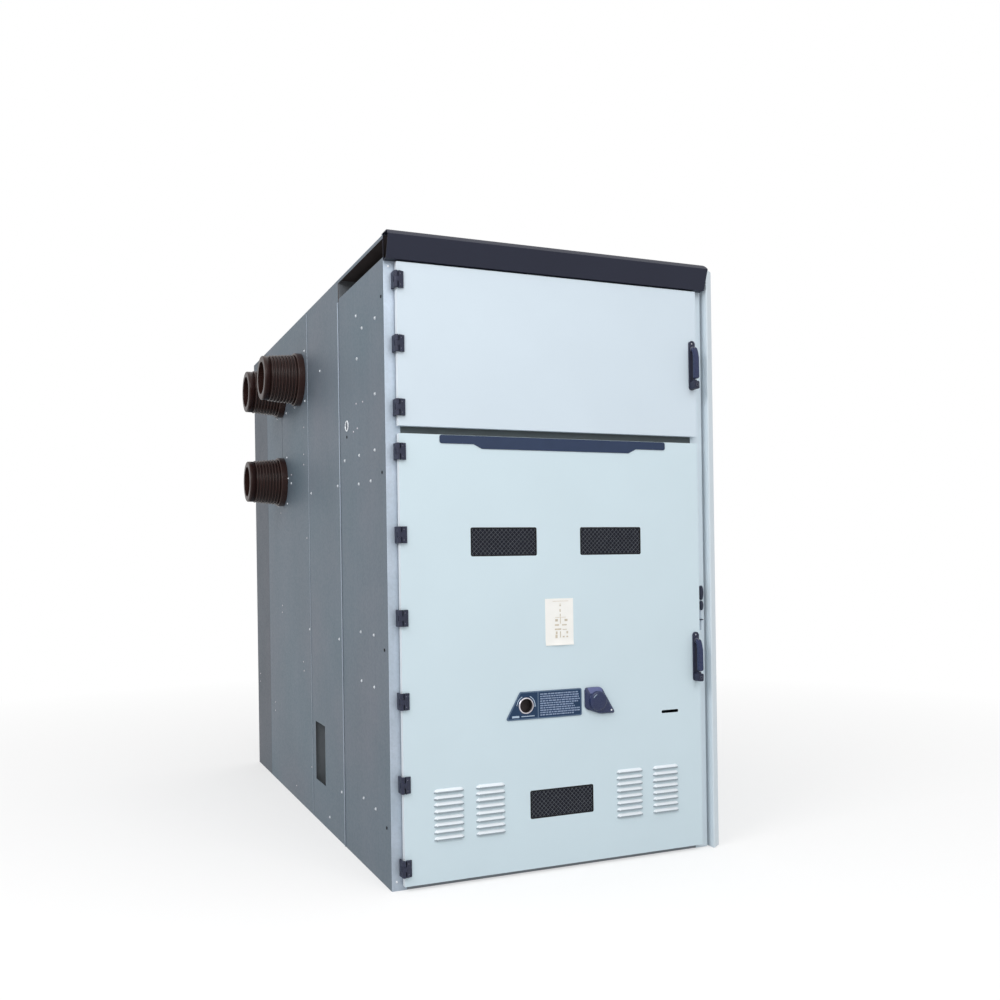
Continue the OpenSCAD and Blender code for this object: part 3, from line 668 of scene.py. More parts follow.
@dataclass
class Solids:
    """Finishes of the solids that come with the frame, and their copies with rounded edges.

    Attributes:
        finishes: Finish to the names of the solids that have it.
        fronts: Wall to the finish of its forward faces: painted light on the left post, painted shade in the
            duct, and on the right post a pale coat that also lightens it against its shade.
        soft: Solid to the rounding of its edges in millimetres, or 0 for a copy that is only smooth.
        near: Distance in millimetres within which a face belongs to a plane.
        facing: Share of a normal from which a face counts as looking along an axis.
        returned: The same for the turned-back left edge of a door.
        lip: Upward share of a normal below which a face of a hood is its lip.
        flat: Share of a normal along the depth from which a face of a door is flat sheet.
    """

    frame: dict
    finishes: dict[Finish, tuple[str, ...]] = field(
        default_factory=lambda: {
            SIDE_SHEET: (
                "left_front_wall", "left_middle_wall", "left_rear_wall", "right_wall", "rear_cover_upper",
                "rear_cover_lower", "roof_front", "roof_middle", "roof_rear", "relief_flaps",
            ),
            DARKER_SHEET: ("left_end_wall",),
            INNER_SHEET: (
                "base_frame", "floor_plates", "top_rail", "shelf", "instrument_back", "truck_partition",
            ),
            DUCT_SHADE: ("duct_floor",),
            RAIL_SHADE: ("mid_rail",),
            DOOR_COAT: ("breaker_door",),
            UPPER_COAT: ("instrument_door",),
            END_COAT: ("end_panel",),
            HEADER_COAT: ("header",),
            STRIP_COAT: ("title_strip",),
            CASTING: both("hinge_frames") + both("hinge_leaves") + both("handle_base"),
            MOULDING: both("handle_lever"),
            TURNED_STEEL: ("racking_sleeve",),
            DARK_STEEL: both("handle_hub"),
            BUSHING_RESIN: ("bushing_front", "bushing_rear", "bushing_low"),
            PLATE_BLUE: ("operating_plate",),
            GLASS: ("window_panes",),
        }
    )
    fronts: dict[str, Finish] = field(
        default_factory=lambda: {
            "left_front_wall": POST_SHEET, "left_middle_wall": DUCT_SHADE, "right_wall": END_COAT,
        }
    )
    soft: dict[str, float] = field(
        default_factory=lambda: {
            "header": 2.0, "end_panel": 2.0, "instrument_door": 1.5, "breaker_door": 1.0, "title_strip": 0.7,
            "operating_plate": 0.4, "relief_flaps": 0.8, "racking_sleeve": 0.5,
            **dict.fromkeys(both("hinge_frames") + both("hinge_leaves"), 0.9),
            **dict.fromkeys(both("handle_base"), 1.2),
            **dict.fromkeys(both("handle_hub"), 0.6),
            **dict.fromkeys(both("handle_lever"), 2.0),
            **dict.fromkeys(("bushing_front", "bushing_rear", "bushing_low"), 0.0),
        }
    )
    near: float = 0.5
    facing: float = 0.5
    returned: float = 0.7
    lip: float = 0.26
    flat: float = 0.999

    def soften(self, name: str, edge: float, finish: Finish) -> Object:
        """Let a copy with rounded edges stand for a solid.

        Args:
            name: Name of the solid.
            edge: Rounding in millimetres, or 0 for a copy that is only smooth.
            finish: Finish of the copy.

        Returns:
            The copy.
        """
        solid = self.frame["nodes"][name]
        sketch = Sketch()
        mesh = sketch.mesh
        mesh.from_mesh(solid.data)
        bmesh.ops.remove_doubles(mesh, verts=mesh.verts, dist=1e-6)
        if edge:
            bmesh.ops.dissolve_limit(mesh, angle_limit=math.radians(0.5), verts=mesh.verts, edges=mesh.edges)
            crisp = math.radians(35)
            outer = [e for e in mesh.edges if e.is_manifold and e.is_convex]
            sketch.round_edges([e for e in outer if e.calc_face_angle() > crisp], edge)
        slots = {s["node"]: s["material_slot"] for s in self.frame["record"]["subparts"]}
        copy = sketch.piece(name + "_dressed", finish, solid["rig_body"], slots[name])
        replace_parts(copy, name)
        return copy

    def recoat_parts(self, name: str, data: Mesh) -> None:
        """Recoat the rims, hoods, turned edges and insides that look unlike the rest of a solid.

        Args:
            name: Name of the solid.
            data: Mesh of the solid or of its copy.
        """
        near = self.near * MM
        if name == "operating_plate":
            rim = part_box(name)[0].y + near
            recoat(data, PLATE_RIM, lambda face: face.center.y < rim)
        elif name in DOORS:
            hood = door_face() * MM - near
            # Painted highlight: the hoods' faces and the turned-back left edge get the pale coat.
            recoat(data, HIGHLIGHT_COAT, lambda face: face.center.y < hood or face.normal.x < -self.returned)
            # Painted shade: the lower faces of the hoods get the grey lip coat.
            recoat(data, LIP_SHADE, lambda face: face.center.y < hood and face.normal.z < self.lip)
            for face in data.polygons:
                face.use_smooth = face.use_smooth and abs(face.normal.y) < self.flat
        elif name in self.fronts:
            # Painted light on the left post's forward faces, painted shade on the duct's; the right post's
            # pale coat also lightens it against its shade.
            recoat(data, self.fronts[name], lambda face: face.normal.y < -self.facing)
        elif name == "roof_front":
            # Painted shade: the front roof's undersides and its inward faces over the open duct get the dark
            # duct colour.
            inside = self.facing
            recoat(data, DUCT_SHADE, lambda face: face.normal.z < -inside or face.normal.x > inside)

    def build(self) -> None:
        """Put each solid's finish on it and make the copies."""
        for finish, names in self.finishes.items():
            for name in names:
                data = self.frame["nodes"][name].data
                data.materials.clear()
                data.materials.append(finish.build())
                if name in self.soft:
                    data = self.soften(name, self.soft[name], finish).data
                self.recoat_parts(name, data)


@dataclass
class LeftWallFitting:
    """What the fittings of the left wall share.

    Attributes:
        wall: Width from the middle to the wall's face in millimetres.
        front: Depth of the front frame's plane in millimetres.
    """

    wall: float = -745.0
    front: float = -1400.0

    def spot(self, depth: float, height: float) -> Matrix:
        """Place on the wall's face, at a depth behind the front frame and a height."""
        return Face.LEFT.at(self.wall, self.front + depth, height)


@dataclass
class Fasteners(LeftWallFitting):
    """Bolts, screws and rivets of the body.

    Attributes:
        side: Depth behind the front frame and height of each bolt on the left wall.
        rivets: The same of each blind rivet there.
        post: Width and height of each screw on the left post.
        bushings: Depth and height of each bushing's axis.
        reach: Half spacing of a bushing's four bolts along the depth and the height.
        head: Radius of a bolt head in millimetres.
        rivet: Radius of a rivet's head.
        pitch: Spacing of the bolts along the edges of covers and roof.
        margin: Distance of those bolts from the edge.
    """

    side: tuple[Pair, ...] = (
        (390, 2363), (115, 2291), (303, 2292), (385, 2177), (1037, 2242), (130, 1986), (142, 1759),
        (368, 1760), (602, 1759), (204, 1638), (381, 1638), (729, 1655), (1253, 1656), (384, 1002),
        (192, 1001), (742, 946), (1327, 957), (380, 792), (195, 786), (375, 289), (200, 282), (736, 238),
        (967, 68), (1793, 1775), (1718, 1742),
    )
    rivets: tuple[Pair, ...] = (
        (306, 1981), (407, 1987), (395, 1879), (455, 1872), (1365, 1430), (1326, 243), (1695, 71),
        (1715, 1789), (2010, 1591), (1400, 2012), (1409, 1871), (1413, 1817), (2005, 1054), (2008, 1014),
        (1484, 774), (1470, 727), (2246, 462), (2250, 411), (2717, 586), (2720, 536),
    )
    post: tuple[Pair, ...] = ((-723, 2471), (-724, 36))
    bushings: tuple[Pair, ...] = ((1485, 2275), (1945, 2275), (1945, 1765))
    reach: Pair = (122.0, 130.0)
    head: float = 4.6
    rivet: float = 4.0
    pitch: float = 330.0
    margin: float = 13.0

    def edge_bolts(self, sketch: Sketch, face: Face, name: str) -> None:
        """Add bolts all round the edge of a flat cover.

        Args:
            sketch: Sketch to add to.
            face: Side that the cover looks out from.
            name: Name of the cover's solid.
        """
        low, high = (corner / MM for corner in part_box(name))
        up = 1 if face is Face.TOP else 2
        spans = []
        for axis in (0, up):
            a, b = low[axis] + self.margin, high[axis] - self.margin
            count = max(2, round((b - a) / self.pitch) + 1)
            spans.append([a + (b - a) * i / (count - 1) for i in range(count)])
        across, along = spans
        spots = {(x, v) for x in across for v in (along[0], along[-1])}
        spots |= {(x, v) for x in (across[0], across[-1]) for v in along}
        for x, v in sorted(spots):
            at = face.at(x, v, high.z) if face is Face.TOP else face.at(x, high.y, v)
            sketch.bolt(at, self.head)

    def build(self) -> None:
        """Make the bolts and rivets of the left wall, the post's screws and the bolts of covers and roof."""
        sketch = Sketch()
        for depth, height in self.side:
            sketch.bolt(self.spot(depth, height), self.head)
        for depth, height in self.bushings:
            for i, j in ((-1, -1), (-1, 1), (1, -1), (1, 1)):
                sketch.bolt(self.spot(depth + i * self.reach[0], height + j * self.reach[1]), self.head)
        for x, height in self.post:
            sketch.screw(Face.FRONT.at(x, self.front, height), self.head)
        sketch.piece("wall_bolts", ZINC_PLATE, "cabinet", "bright_steel")
        for depth, height in self.rivets:
            sketch.screw(self.spot(depth, height), self.rivet)
        sketch.piece("wall_rivets", TURNED_STEEL, "cabinet", "bright_steel")
        for name in ("rear_cover_upper", "rear_cover_lower"):
            self.edge_bolts(sketch, Face.REAR, name)
        for name in ("roof_front", "roof_middle", "roof_rear"):
            self.edge_bolts(sketch, Face.TOP, name)
        sketch.piece("cover_bolts", ZINC_PLATE, "cabinet", "bright_steel")


@dataclass
class WallTrim(LeftWallFitting):
    """Bright joint edges, blanking plug, small caps and the stiffener behind the cut-out of the left wall.

    Attributes:
        joints: Depth behind the front frame, top, width and outward reach of each turned-out edge.
        burr: Rounding of sheet edges in millimetres.
        stiffener: Depth behind the front frame, bottom and height of the upright flange inside.
        flange: Distance of its middle from the wall's face, its width and its thickness.
        plug: Depth and height of the blanking plug.
        plug_r: Radius of the plug's rim.
        rim: Width of the rim, its height, and its height where the slopes begin.
        dished: Thickness of the sheet inside the rim.
        caps: Depth and height of each small cap.
        cap: Radius, height and rounding of a cap.
    """

    joints: tuple[tuple[float, float, float, float], ...] = ((684, 2490, 4, 4), (1303, 2585, 2.2, 1.8))
    burr: float = 0.5
    stiffener: Triple = (1248.0, 110.0, 420.0)
    flange: Triple = (42.0, 76.0, 2.0)
    plug: Pair = (559.0, 1910.0)
    plug_r: float = 25.0
    rim: Triple = (6.0, 3.5, 1.5)
    dished: float = 1.2
    caps: tuple[Pair, ...] = ((33, 2358), (49, 1660), (51, 950), (54, 239), (563, 1861), (2073, 2149))
    cap: Triple = (6.5, 2.0, 0.8)

    def build(self) -> None:
        """Make the edges, the stiffener, the plug and the caps."""
        sketch = Sketch()
        # The joint edges take the bright post sheet as a painted highlight along the seams, fading towards
        # the floor.
        for depth, top, width, out in self.joints:
            sketch.block(self.spot(depth, top / 2), width, top, out, self.burr)
        sketch.piece("joint_edge_highlights", POST_SHEET, "cabinet", "galvanised_sheet")
        depth, foot, tall = self.stiffener
        inward, width, gauge = self.flange
        upright = Face.FRONT.at(self.wall + inward, self.front + depth, foot + tall / 2)
        sketch.block(upright, width, tall, gauge, self.burr)
        sketch.piece("cut_out_stiffener", INNER_SHEET, "cabinet", "galvanised_sheet")
        at = self.spot(*self.plug)
        outer = self.plug_r
        width, top, low = self.rim
        inner, third = outer - width, width / 3
        slopes = [(outer, low), (outer - third, top), (inner + third, top), (inner, low)]
        sketch.turn(at, [(inner, 0), (outer, 0), *slopes])
        sketch.piece("plug_rim", ZINC_PLATE, "cabinet", "bright_steel")
        sketch.prism(at, inner, self.dished, 32, self.burr)
        sketch.piece("plug_cap", DARKER_SHEET, "cabinet", "galvanised_sheet")
        radius, height, edge = self.cap
        for spot in self.caps:
            sketch.prism(self.spot(*spot), radius, height, 24, edge)
        sketch.piece("wall_caps", RUBBER, "cabinet", "black_moulding")


@dataclass
class DoorSeals:
    """Rubber strips on the turned-in lips behind the doors.

    Attributes:
        inset: Distance of a strip from the door's edge in millimetres.
        width: Width of a strip.
        depth: Thickness of a strip.
        edge: Rounding of its edges.
    """

    inset: float = 3.0
    width: float = 11.0
    depth: float = 4.0
    edge: float = 1.2

    def build(self) -> None:
        """Make one strip round the back of each door."""
        sketch = Sketch()
        for name in DOORS:
            low, high = (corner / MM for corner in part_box(name))
            middle = (low + high) / 2
            wide, _, tall = (size - 2 * self.inset for size in high - low)
            place = Face.REAR.at(middle.x, high.y, middle.z)
            sketch.border(place, wide, tall, self.width, self.depth, self.edge)
            sketch.piece(name + "_seal", RUBBER, name, "black_moulding")


@dataclass
class WindowGuards:
    """Glazing beads and wire mesh in the viewing windows of the lower door.

    Attributes:
        middles: Width and height of each window's middle in millimetres.
        size: Width and height of a window.
        bead: Width of the rubber bead round the glass, its distance below the door's face and its rounding.
        pitch: Diagonal of one mesh diamond.
        wire: Radius of a wire.
        layers: Distance from the glass of the wires that lean left and right, in radii of a wire.
        margin: Distance of the wires' ends from the window's edge.
        shortest: Length along the width below which a wire is left out.
        recess: Depth of the glass behind the door's face.
    """

    middles: tuple[Pair, ...] = ((-251, 1378), (251, 1378), (0, 286))
    size: Pair = (298.0, 118.0)
    bead: Triple = (6.0, 0.2, 0.6)
    pitch: float = 19.0
    wire: float = 0.75
    layers: Pair = (1.3, 1.1)
    margin: float = 2.0
    shortest: float = 10.0
    recess: float = 2.0

    def strands(self, lean: int) -> list[tuple[Vector, Vector]]:
        """Ends of the wires that lean one way, about a window's middle.

        Args:
            lean: 1 for wires that rise to the right, -1 for the others.

        Returns:
            Pairs of points in width and height.
        """
        half_w, half_h = (s / 2 - self.margin for s in self.size)
        count = int((half_w + half_h) / self.pitch)
        found = []
        for i in range(-count, count + 1):
            start = max(-half_w, i * self.pitch - half_h)
            end = min(half_w, i * self.pitch + half_h)
            if end - start > self.shortest:
                ends = [Vector((x, lean * (x - i * self.pitch))) for x in (start, end)]
                found.append((ends[0], ends[1]))
        return found

    def build(self) -> None:
        """Make the beads and the mesh of all windows."""
        glass = door_face() + self.recess
        width, below, edge = self.bead
        mesh, beads = Sketch(), Sketch()
        for x, z in self.middles:
            beads.border(Face.FRONT.at(x, glass, z), *self.size, width, self.recess - below, edge)
            for lean, layer in zip((-1, 1), self.layers):
                depth = glass - self.wire * layer
                for strand in self.strands(lean):
                    start, end = (Vector((x + p.x, depth, z + p.y)) * MM for p in strand)
                    mesh.rod(start, end, self.wire)
        mesh.piece("window_mesh", MESH_WIRE, "breaker_door", "black_moulding")
        beads.piece("window_beads", RUBBER, "breaker_door", "black_moulding")


@dataclass
class OperatingPanel:
    """What the pieces of the operating panel on the lower door share.

    Attributes:
        middle: Height of the panel's middle in millimetres.
        turret: Width of the middle of the trip cover's turret, its radius and its distance from the door.
    """

    middle: float = 699.0
    turret: Triple = (167.0, 42.0, 31.0)


@dataclass
class PanelPrint(OperatingPanel):
    """Pale marks on the operating plate and the trip cover, and the closed cup behind the racking hole.

    Attributes:
        hole: Width of the racking hole's middle.
        plate: Thickness of the plate.
        ink: Thickness of the ink.
        rows: Number of rows of bars, their spacing and the height of a bar.
        ends: Left and right ends of the rows.
        ragged: Distances from the right end at which a row may stop.
        shortest: Length below which no further bar starts.
        runs: Shortest and longest bar.
        gaps: Narrowest and widest gap between bars.
        ring: Radius, width and sweep in degrees of the arcs round the racking hole.
        arrows: Angles in degrees at which each arc starts and at which its arrowhead sits.
        arrow: Radius of an arrowhead and its offset along the arc.
        lines: Distance from the hole along the width, length and height of each line under it.
        drop: Distance of those lines below the panel's middle.
        mark: Radius, width, start and sweep in degrees of the arc on the turret, a printed mark that also
            serves as a painted highlight on the dome.
        rivet: Width and height of the rivet in the cover's lug.
        rivet_size: Its radius, its height and the distance of its foot from the door.
        cup: Inner radius of the cup, its depth behind the door's sheet and that sheet's thickness.
        cup_wall: Thickness of the cup's wall and width of its flange.
    """

    hole: float = -163.0
    plate: float = 2.0
    ink: float = 0.15
    rows: tuple[int, float, float] = (10, 9.6, 5.0)
    ends: Pair = (-98.0, 88.0)
    ragged: tuple[float, ...] = (0, 0, 0, 8, 24)
    shortest: float = 4.0
    runs: Pair = (5.0, 16.0)
    gaps: Pair = (1.5, 3.5)
    ring: Triple = (41.0, 3.2, 65.0)
    arrows: tuple[Pair, ...] = ((115, 180), (0, 0))
    arrow: Pair = (5.0, 3.0)
    lines: tuple[Triple, ...] = ((-48, 32, 8), (8, 60, 3))
    drop: float = 44.0
    mark: tuple[float, float, float, float] = (31.0, 2.6, 112.0, 36.0)
    rivet: Pair = (232.0, 656.5)
    rivet_size: Triple = (4.0, 10.5, 9.0)
    cup: Triple = (36.0, 33.0, 2.0)
    cup_wall: Pair = (1.5, 8.0)

    def bars(self, sketch: Sketch, face: float) -> None:
        """Add rows of short bars, broken at uneven lengths, as blocks of small print look from afar.

        Args:
            sketch: Sketch to add to.
            face: Depth of the plate's face in millimetres.
        """
        dice = random.Random(5)
        count, pitch, tall = self.rows
        for i in range(count):
            z = self.middle + (i - (count - 1) / 2) * pitch
            x, end = self.ends[0], self.ends[1] - dice.choice(self.ragged)
            while x < end - self.shortest:
                run = min(dice.uniform(*self.runs), end - x)
                sketch.block(Face.FRONT.at(x + run / 2, face, z), run, tall, self.ink)
                x += run + dice.uniform(*self.gaps)

    def guide(self, sketch: Sketch, face: float) -> None:
        """Add the arrows that run round the racking hole and the lines under it.

        Args:
            sketch: Sketch to add to.
            face: Depth of the plate's face in millimetres.
        """
        radius, width, sweep = self.ring
        size, past = self.arrow
        ring = Face.FRONT.at(self.hole, face, self.middle)
        for start, tip in self.arrows:
            sketch.arc(ring, radius, width, self.ink, start, sweep)
            spot = Matrix.Rotation(math.radians(tip), 4, "Z") @ shift(radius, -past, 0)
            sketch.prism(ring @ spot, size, self.ink, 3)
        for x, length, tall in self.lines:
            sketch.block(Face.FRONT.at(self.hole + x, face, self.middle - self.drop), length, tall, self.ink)

    def build(self) -> None:
        """Make the marks of the plate, the cover's arc and rivet, and the cup."""
        door = door_face()
        sketch = Sketch()
        self.bars(sketch, door - self.plate)
        sketch.piece("plate_small_print", DIM_INK, "breaker_door", "decal")
        self.guide(sketch, door - self.plate)
        sketch.piece("plate_print", PALE_INK, "breaker_door", "decal")
        x, _, reach = self.turret
        radius, width, start, sweep = self.mark
        # The arc on the turret is a printed mark that also serves as a painted highlight on the dome's upper
        # left.
        sketch.arc(Face.FRONT.at(x, door - reach, self.middle), radius, width, self.ink, start, sweep)
        sketch.piece("cover_mark_and_highlight", PALE_INK, "breaker_door", "decal")
        radius, height, foot = self.rivet_size
        sketch.prism(Face.FRONT.at(self.rivet[0], door - foot, self.rivet[1]), radius, height, 20, 1.2)
        sketch.piece("cover_rivet", ZINC_PLATE, "breaker_door", "bright_steel")
        inner, deep, sheet = self.cup
        gauge, flange = self.cup_wall
        outer, bottom = inner + gauge, deep - gauge
        outline = [(inner, 0), (inner + flange, 0), (inner + flange, gauge), (outer, gauge), (outer, deep)]
        outline += [(AXIS, deep), (AXIS, bottom), (inner, bottom)]
        # The cup's brownish black is painted shade inside the racking hole.
        sketch.turn(Face.REAR.at(self.hole, door + sheet, self.middle), outline)
        sketch.piece("racking_cup", DUCT_SHADE, "breaker_door", "galvanised_sheet")


@dataclass
class TripCover(OperatingPanel):
    """Moulded cover of the emergency trip: a body that slopes back on every side and a round turret.

    Attributes:
        corners: Width and height about the panel's middle of the body's corners, anticlockwise.
        bend: Rounding of the corners.
        edge: Rounding of the other edges.
        depths: Distance from the door of the slopes' foot and of their top.
        pivot: Width and height of the point towards which the slopes draw in.
        draw: Share of the width and of the height that is left at the top of the slopes.
        sunk: How deep the turret's foot lies in the body.
        dome: Share of the radius and drop below the top at each point of the turret's rounded edge.
        lit_slope: Upward shares of a normal between which a slope is paler, as painted light from above.
    """

    corners: tuple[Pair, ...] = ((112, 57.5), (112, -31.5), (184, -57.5), (257, -57.5), (190, 57.5))
    bend: float = 13.0
    edge: float = 1.2
    depths: Pair = (8.0, 18.0)
    pivot: Pair = (173.0, -33.0)
    draw: Pair = (0.82, 0.72)
    sunk: float = 6.0
    dome: tuple[Pair, ...] = ((0.62, 0.0), (0.82, 1.4), (0.95, 5.0), (1.0, 10.0))
    lit_slope: Pair = (0.33, 0.6)

    def body(self, sketch: Sketch, face: float) -> None:
        """Raise the rounded outline from the door and draw it in along the slopes.

        Args:
            sketch: Sketch to add to.
            face: Depth of the door's face in millimetres.
        """
        mesh = sketch.mesh
        low, high = self.depths
        foot = [mesh.verts.new(Vector((x, face, self.middle + z)) * MM) for x, z in self.corners]
        mesh.faces.new(foot)
        sketch.round_edges(foot, self.bend, 6, "VERTICES")
        top = mesh.faces[:]
        centre = Vector((self.pivot[0], face, self.middle + self.pivot[1])) * MM
        for rise, (wide, tall) in ((low, (1.0, 1.0)), (high - low, self.draw)):
            made = bmesh.ops.extrude_face_region(mesh, geom=top)["geom"]
            top = [part for part in made if isinstance(part, bmesh.types.BMFace)]
            verts = [part for part in made if isinstance(part, bmesh.types.BMVert)]
            bmesh.ops.translate(mesh, verts=verts, vec=(0, -rise * MM, 0))
            bmesh.ops.scale(mesh, verts=verts, vec=(wide, 1, tall), space=Matrix.Translation(-centre))
        bmesh.ops.recalc_face_normals(mesh, faces=mesh.faces)
        crisp = [e for e in mesh.edges if e.calc_face_angle(0.0) > math.radians(20) and e.is_convex]
        clear = (face - low / 2) * MM
        sketch.round_edges([e for e in crisp if min(v.co.y for v in e.verts) < clear], self.edge)

    def build(self) -> None:
        """Make the body and the turret."""
        face = door_face()
        sketch = Sketch()
        self.body(sketch, face)
        x, radius, reach = self.turret
        skin = face - self.depths[1]
        tall = reach - self.depths[1] + self.sunk
        edge = [(radius * share, tall - drop) for share, drop in self.dome]
        outline = [(AXIS, tall), *edge, (radius, 0), (AXIS, 0)]
        sketch.turn(Face.FRONT.at(x, skin + self.sunk, self.middle), outline, 56)
        cover = sketch.piece("trip_cover_dressed", MOULDING, "breaker_door", "black_moulding")
        # Painted light: the body's upward-facing slopes get the paler moulding.
        low, high = self.lit_slope
        recoat(cover.data, LIT_MOULDING, lambda s: s.center.y > skin * MM and low < s.normal.z < high)
        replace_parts(cover, "trip_cover")


@dataclass
class DiagramSheet:
    """Paper sheet on the lower door with a thin line diagram, its lower edge lifting a little.

    Attributes:
        middle: Width and height of the sheet's middle in millimetres.
        size: Width and height of the sheet.
        cells: Number of cells along the width and the height.
        seat: Distance of the sheet from the door.
        thick: Thickness of the sheet with its film.
        lift: How far the lower edge stands off the door.
        curl: Share of the height over which it lifts.
        wave: Mean share of the lift, its swing and the number of waves along the edge.
        ink: Thickness of the ink.
        strokes: Left, bottom, width and height of each stroke about the middle.
    """

    middle: Pair = (-2.0, 1040.0)
    size: Pair = (132.0, 196.0)
    cells: tuple[int, int] = (16, 28)
    seat: float = 0.3
    thick: float = 0.4
    lift: float = 6.0
    curl: float = 0.14
    wave: Triple = (0.65, 0.35, 1.5)
    ink: float = 0.15
    strokes: tuple[tuple[float, float, float, float], ...] = (
        (-31, 86, 74, 1.6), (3, 64, 2, 14), (0, 68, 9, 3), (1, 42, 5, 11), (2, 22, 4, 12),
        (-20, 18, 50, 1.6), (-20, 2, 12, 10), (24, 2, 14, 9), (3, -8, 3, 26), (-22, -16, 20, 6),
        (12, -16, 22, 5), (-22, -34, 30, 6), (14, -34, 20, 3), (-18, -52, 8, 12), (2, -66, 4, 26),
        (-20, -68, 10, 14), (32, -50, 8, 10), (32, -66, 8, 6), (14, -66, 9, 6),
    )

    def sheet(self, sketch: Sketch, at: Matrix) -> None:
        """Add the sheet with its lifted edge.

        Args:
            sketch: Sketch to add to.
            at: Place of the sheet's middle.
        """
        wide, tall = self.size
        mean, swing, waves = self.wave
        mesh = sketch.mesh
        size = Matrix.Diagonal((wide * MM, tall * MM, 1, 1))
        columns, rows = self.cells
        bmesh.ops.create_grid(mesh, x_segments=columns, y_segments=rows, size=0.5, matrix=at @ size)
        back = at.inverted()
        for vert in mesh.verts:
            spot = (back @ vert.co) / MM
            share = max(0.0, 1 - (spot.y + tall / 2) / (self.curl * tall))
            wave = mean + swing * math.cos(math.tau * spot.x / wide * waves)
            vert.co.y -= self.lift * share * share * wave * MM
        bmesh.ops.recalc_face_normals(mesh, faces=mesh.faces)
        bmesh.ops.solidify(mesh, geom=mesh.faces, thickness=self.thick * MM)

    def build(self) -> None:
        """Make the sheet and its strokes."""
        face = door_face() - self.seat
        x, z = self.middle
        sketch = Sketch()
        self.sheet(sketch, Face.FRONT.at(x, face, z))
        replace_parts(sketch.piece("curled_sheet", PAPER, "breaker_door", "paper"), "diagram_sheet")
        for left, low, width, height in self.strokes:
            place = Face.FRONT.at(x + left + width / 2, face - self.thick, z + low + height / 2)
            sketch.block(place, width, height, self.ink)
        sketch.piece("sheet_strokes", BROWN_INK, "breaker_door", "paper")


@dataclass
class DoorHardware:
    """Small parts on hinges and handles: screws, key cylinders and lock catches.

    Attributes:
        hinge_x: Width of the hinge axis in millimetres.
        hinges: Heights of the upper and of the lower door's hinges.
        leaf_x: Distance of a leaf's screws from the hinge axis.
        leaf_out: Distance of the leaf's surface from the door at the screws.
        leaf_tilt: Slope of the leaf in degrees.
        leaf_screw: Radius of a leaf's screw.
        spread: Distance of a leaf's screws from the hinge's middle.
        grip_x: Width of the handles' middle line.
        grips: Height of the middle of the upper and of the lower handle.
        key: Distance of the key cylinder below that middle and from the door.
        key_ring: Radius and height of each corner of the cylinder's face.
        grip_screw: Distance of the handle's screw above the middle and from the door, and its radius.
        catch: Distance of the lock catch below the middle and from the door.
        catch_size: Its width, height, depth and rounding.
    """

    hinge_x: float = -705.0
    hinges: tuple[tuple[float, ...], ...] = (
        (1911.0, 2162.5, 2414.0), (93.0, 421.8, 750.6, 1079.4, 1408.2, 1737.0),
    )
    leaf_x: float = 18.0
    leaf_out: float = 10.8
    leaf_tilt: float = 21.0
    leaf_screw: float = 2.6
    spread: float = 21.0
    grip_x: float = 675.0
    grips: Pair = (2154.0, 861.0)
    key: Pair = (90.0, 45.0)
    key_ring: tuple[Pair, ...] = ((5.2, 0.0), (6.8, 0.0), (6.6, 0.8), (5.4, 0.8))
    grip_screw: Triple = (97.0, 4.0, 3.9)
    catch: Pair = (70.0, 6.0)
    catch_size: tuple[float, float, float, float] = (15.0, 8.0, 26.0, 1.2)

    def build(self) -> None:
        """Make each door's leaf screws with the key cylinder's face, its handle screw and its catch."""
        face = door_face()
        sketch = Sketch()
        tilt = Matrix.Rotation(math.radians(self.leaf_tilt), 4, "Y")
        leaf = (self.hinge_x + self.leaf_x, face - self.leaf_out)
        for door, heights, grip in zip(DOORS, self.hinges, self.grips):
            for z in heights:
                for side in (-1, 1):
                    sketch.screw(Face.FRONT.at(*leaf, z + side * self.spread) @ tilt, self.leaf_screw)
            below, out = self.key
            sketch.turn(Face.FRONT.at(self.grip_x, face - out, grip - below), list(self.key_ring), 28)
            sketch.piece(door + "_screws", DARK_STEEL, door, "bright_steel")
            above, out, radius = self.grip_screw
            sketch.screw(Face.FRONT.at(self.grip_x, face - out, grip + above), radius)
            sketch.piece(door + "_grip_screw", ZINC_PLATE, door, "bright_steel")
            below, out = self.catch
            sketch.block(Face.FRONT.at(self.grip_x, face - out, grip - below), *self.catch_size)
            sketch.piece(door + "_lock_catch", CASTING, door, "hinge_casting")


@dataclass
class Keeper:
    """Catch of the lower door's lock on the right post: a strip with two round lugs and a stop.

    Attributes:
        x: Width of its middle line in millimetres.
        foot: Depth of the post's face.
        strip: Bottom and top of the strip.
        strip_size: Width and thickness of the strip.
        lugs: Height of the middle, half height and half width of each lug.
        lug_edge: Rounding of a lug.
        stop: Height of the stop's middle, its width and its height.
        edge: Rounding of the strip and the stop.
        out: How far the lugs and the stop stand out.
    """

    x: float = 724.5
    foot: float = -1400.0
    strip: Pair = (975.0, 1175.0)
    strip_size: Pair = (8.0, 4.0)
    lugs: tuple[Triple, ...] = ((1142.0, 32.0, 9.0), (1085.0, 21.0, 8.0))
    lug_edge: float = 2.0
    stop: Triple = (1022.0, 15.0, 5.0)
    edge: float = 1.0
    out: float = 16.0

    def build(self) -> None:
        """Make the lugs with the stop, and the strip."""
        sketch = Sketch()
        for middle, tall, wide in self.lugs:
            oval = Matrix.Diagonal((wide / tall, 1, 1, 1))
            sketch.prism(Face.FRONT.at(self.x, self.foot, middle) @ oval, tall, self.out, 36, self.lug_edge)
        middle, wide, tall = self.stop
        sketch.block(Face.FRONT.at(self.x, self.foot, middle), wide, tall, self.out, self.edge)
        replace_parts(sketch.piece("keeper_lugs", CASTING, "cabinet", "hinge_casting"), "latch_keeper")
        low, high = self.strip
        wide, thick = self.strip_size
        sketch.block(Face.FRONT.at(self.x, self.foot, (low + high) / 2), wide, high - low, thick, self.edge)
        sketch.piece("keeper_strip", POST_SHEET, "cabinet", "galvanised_sheet")


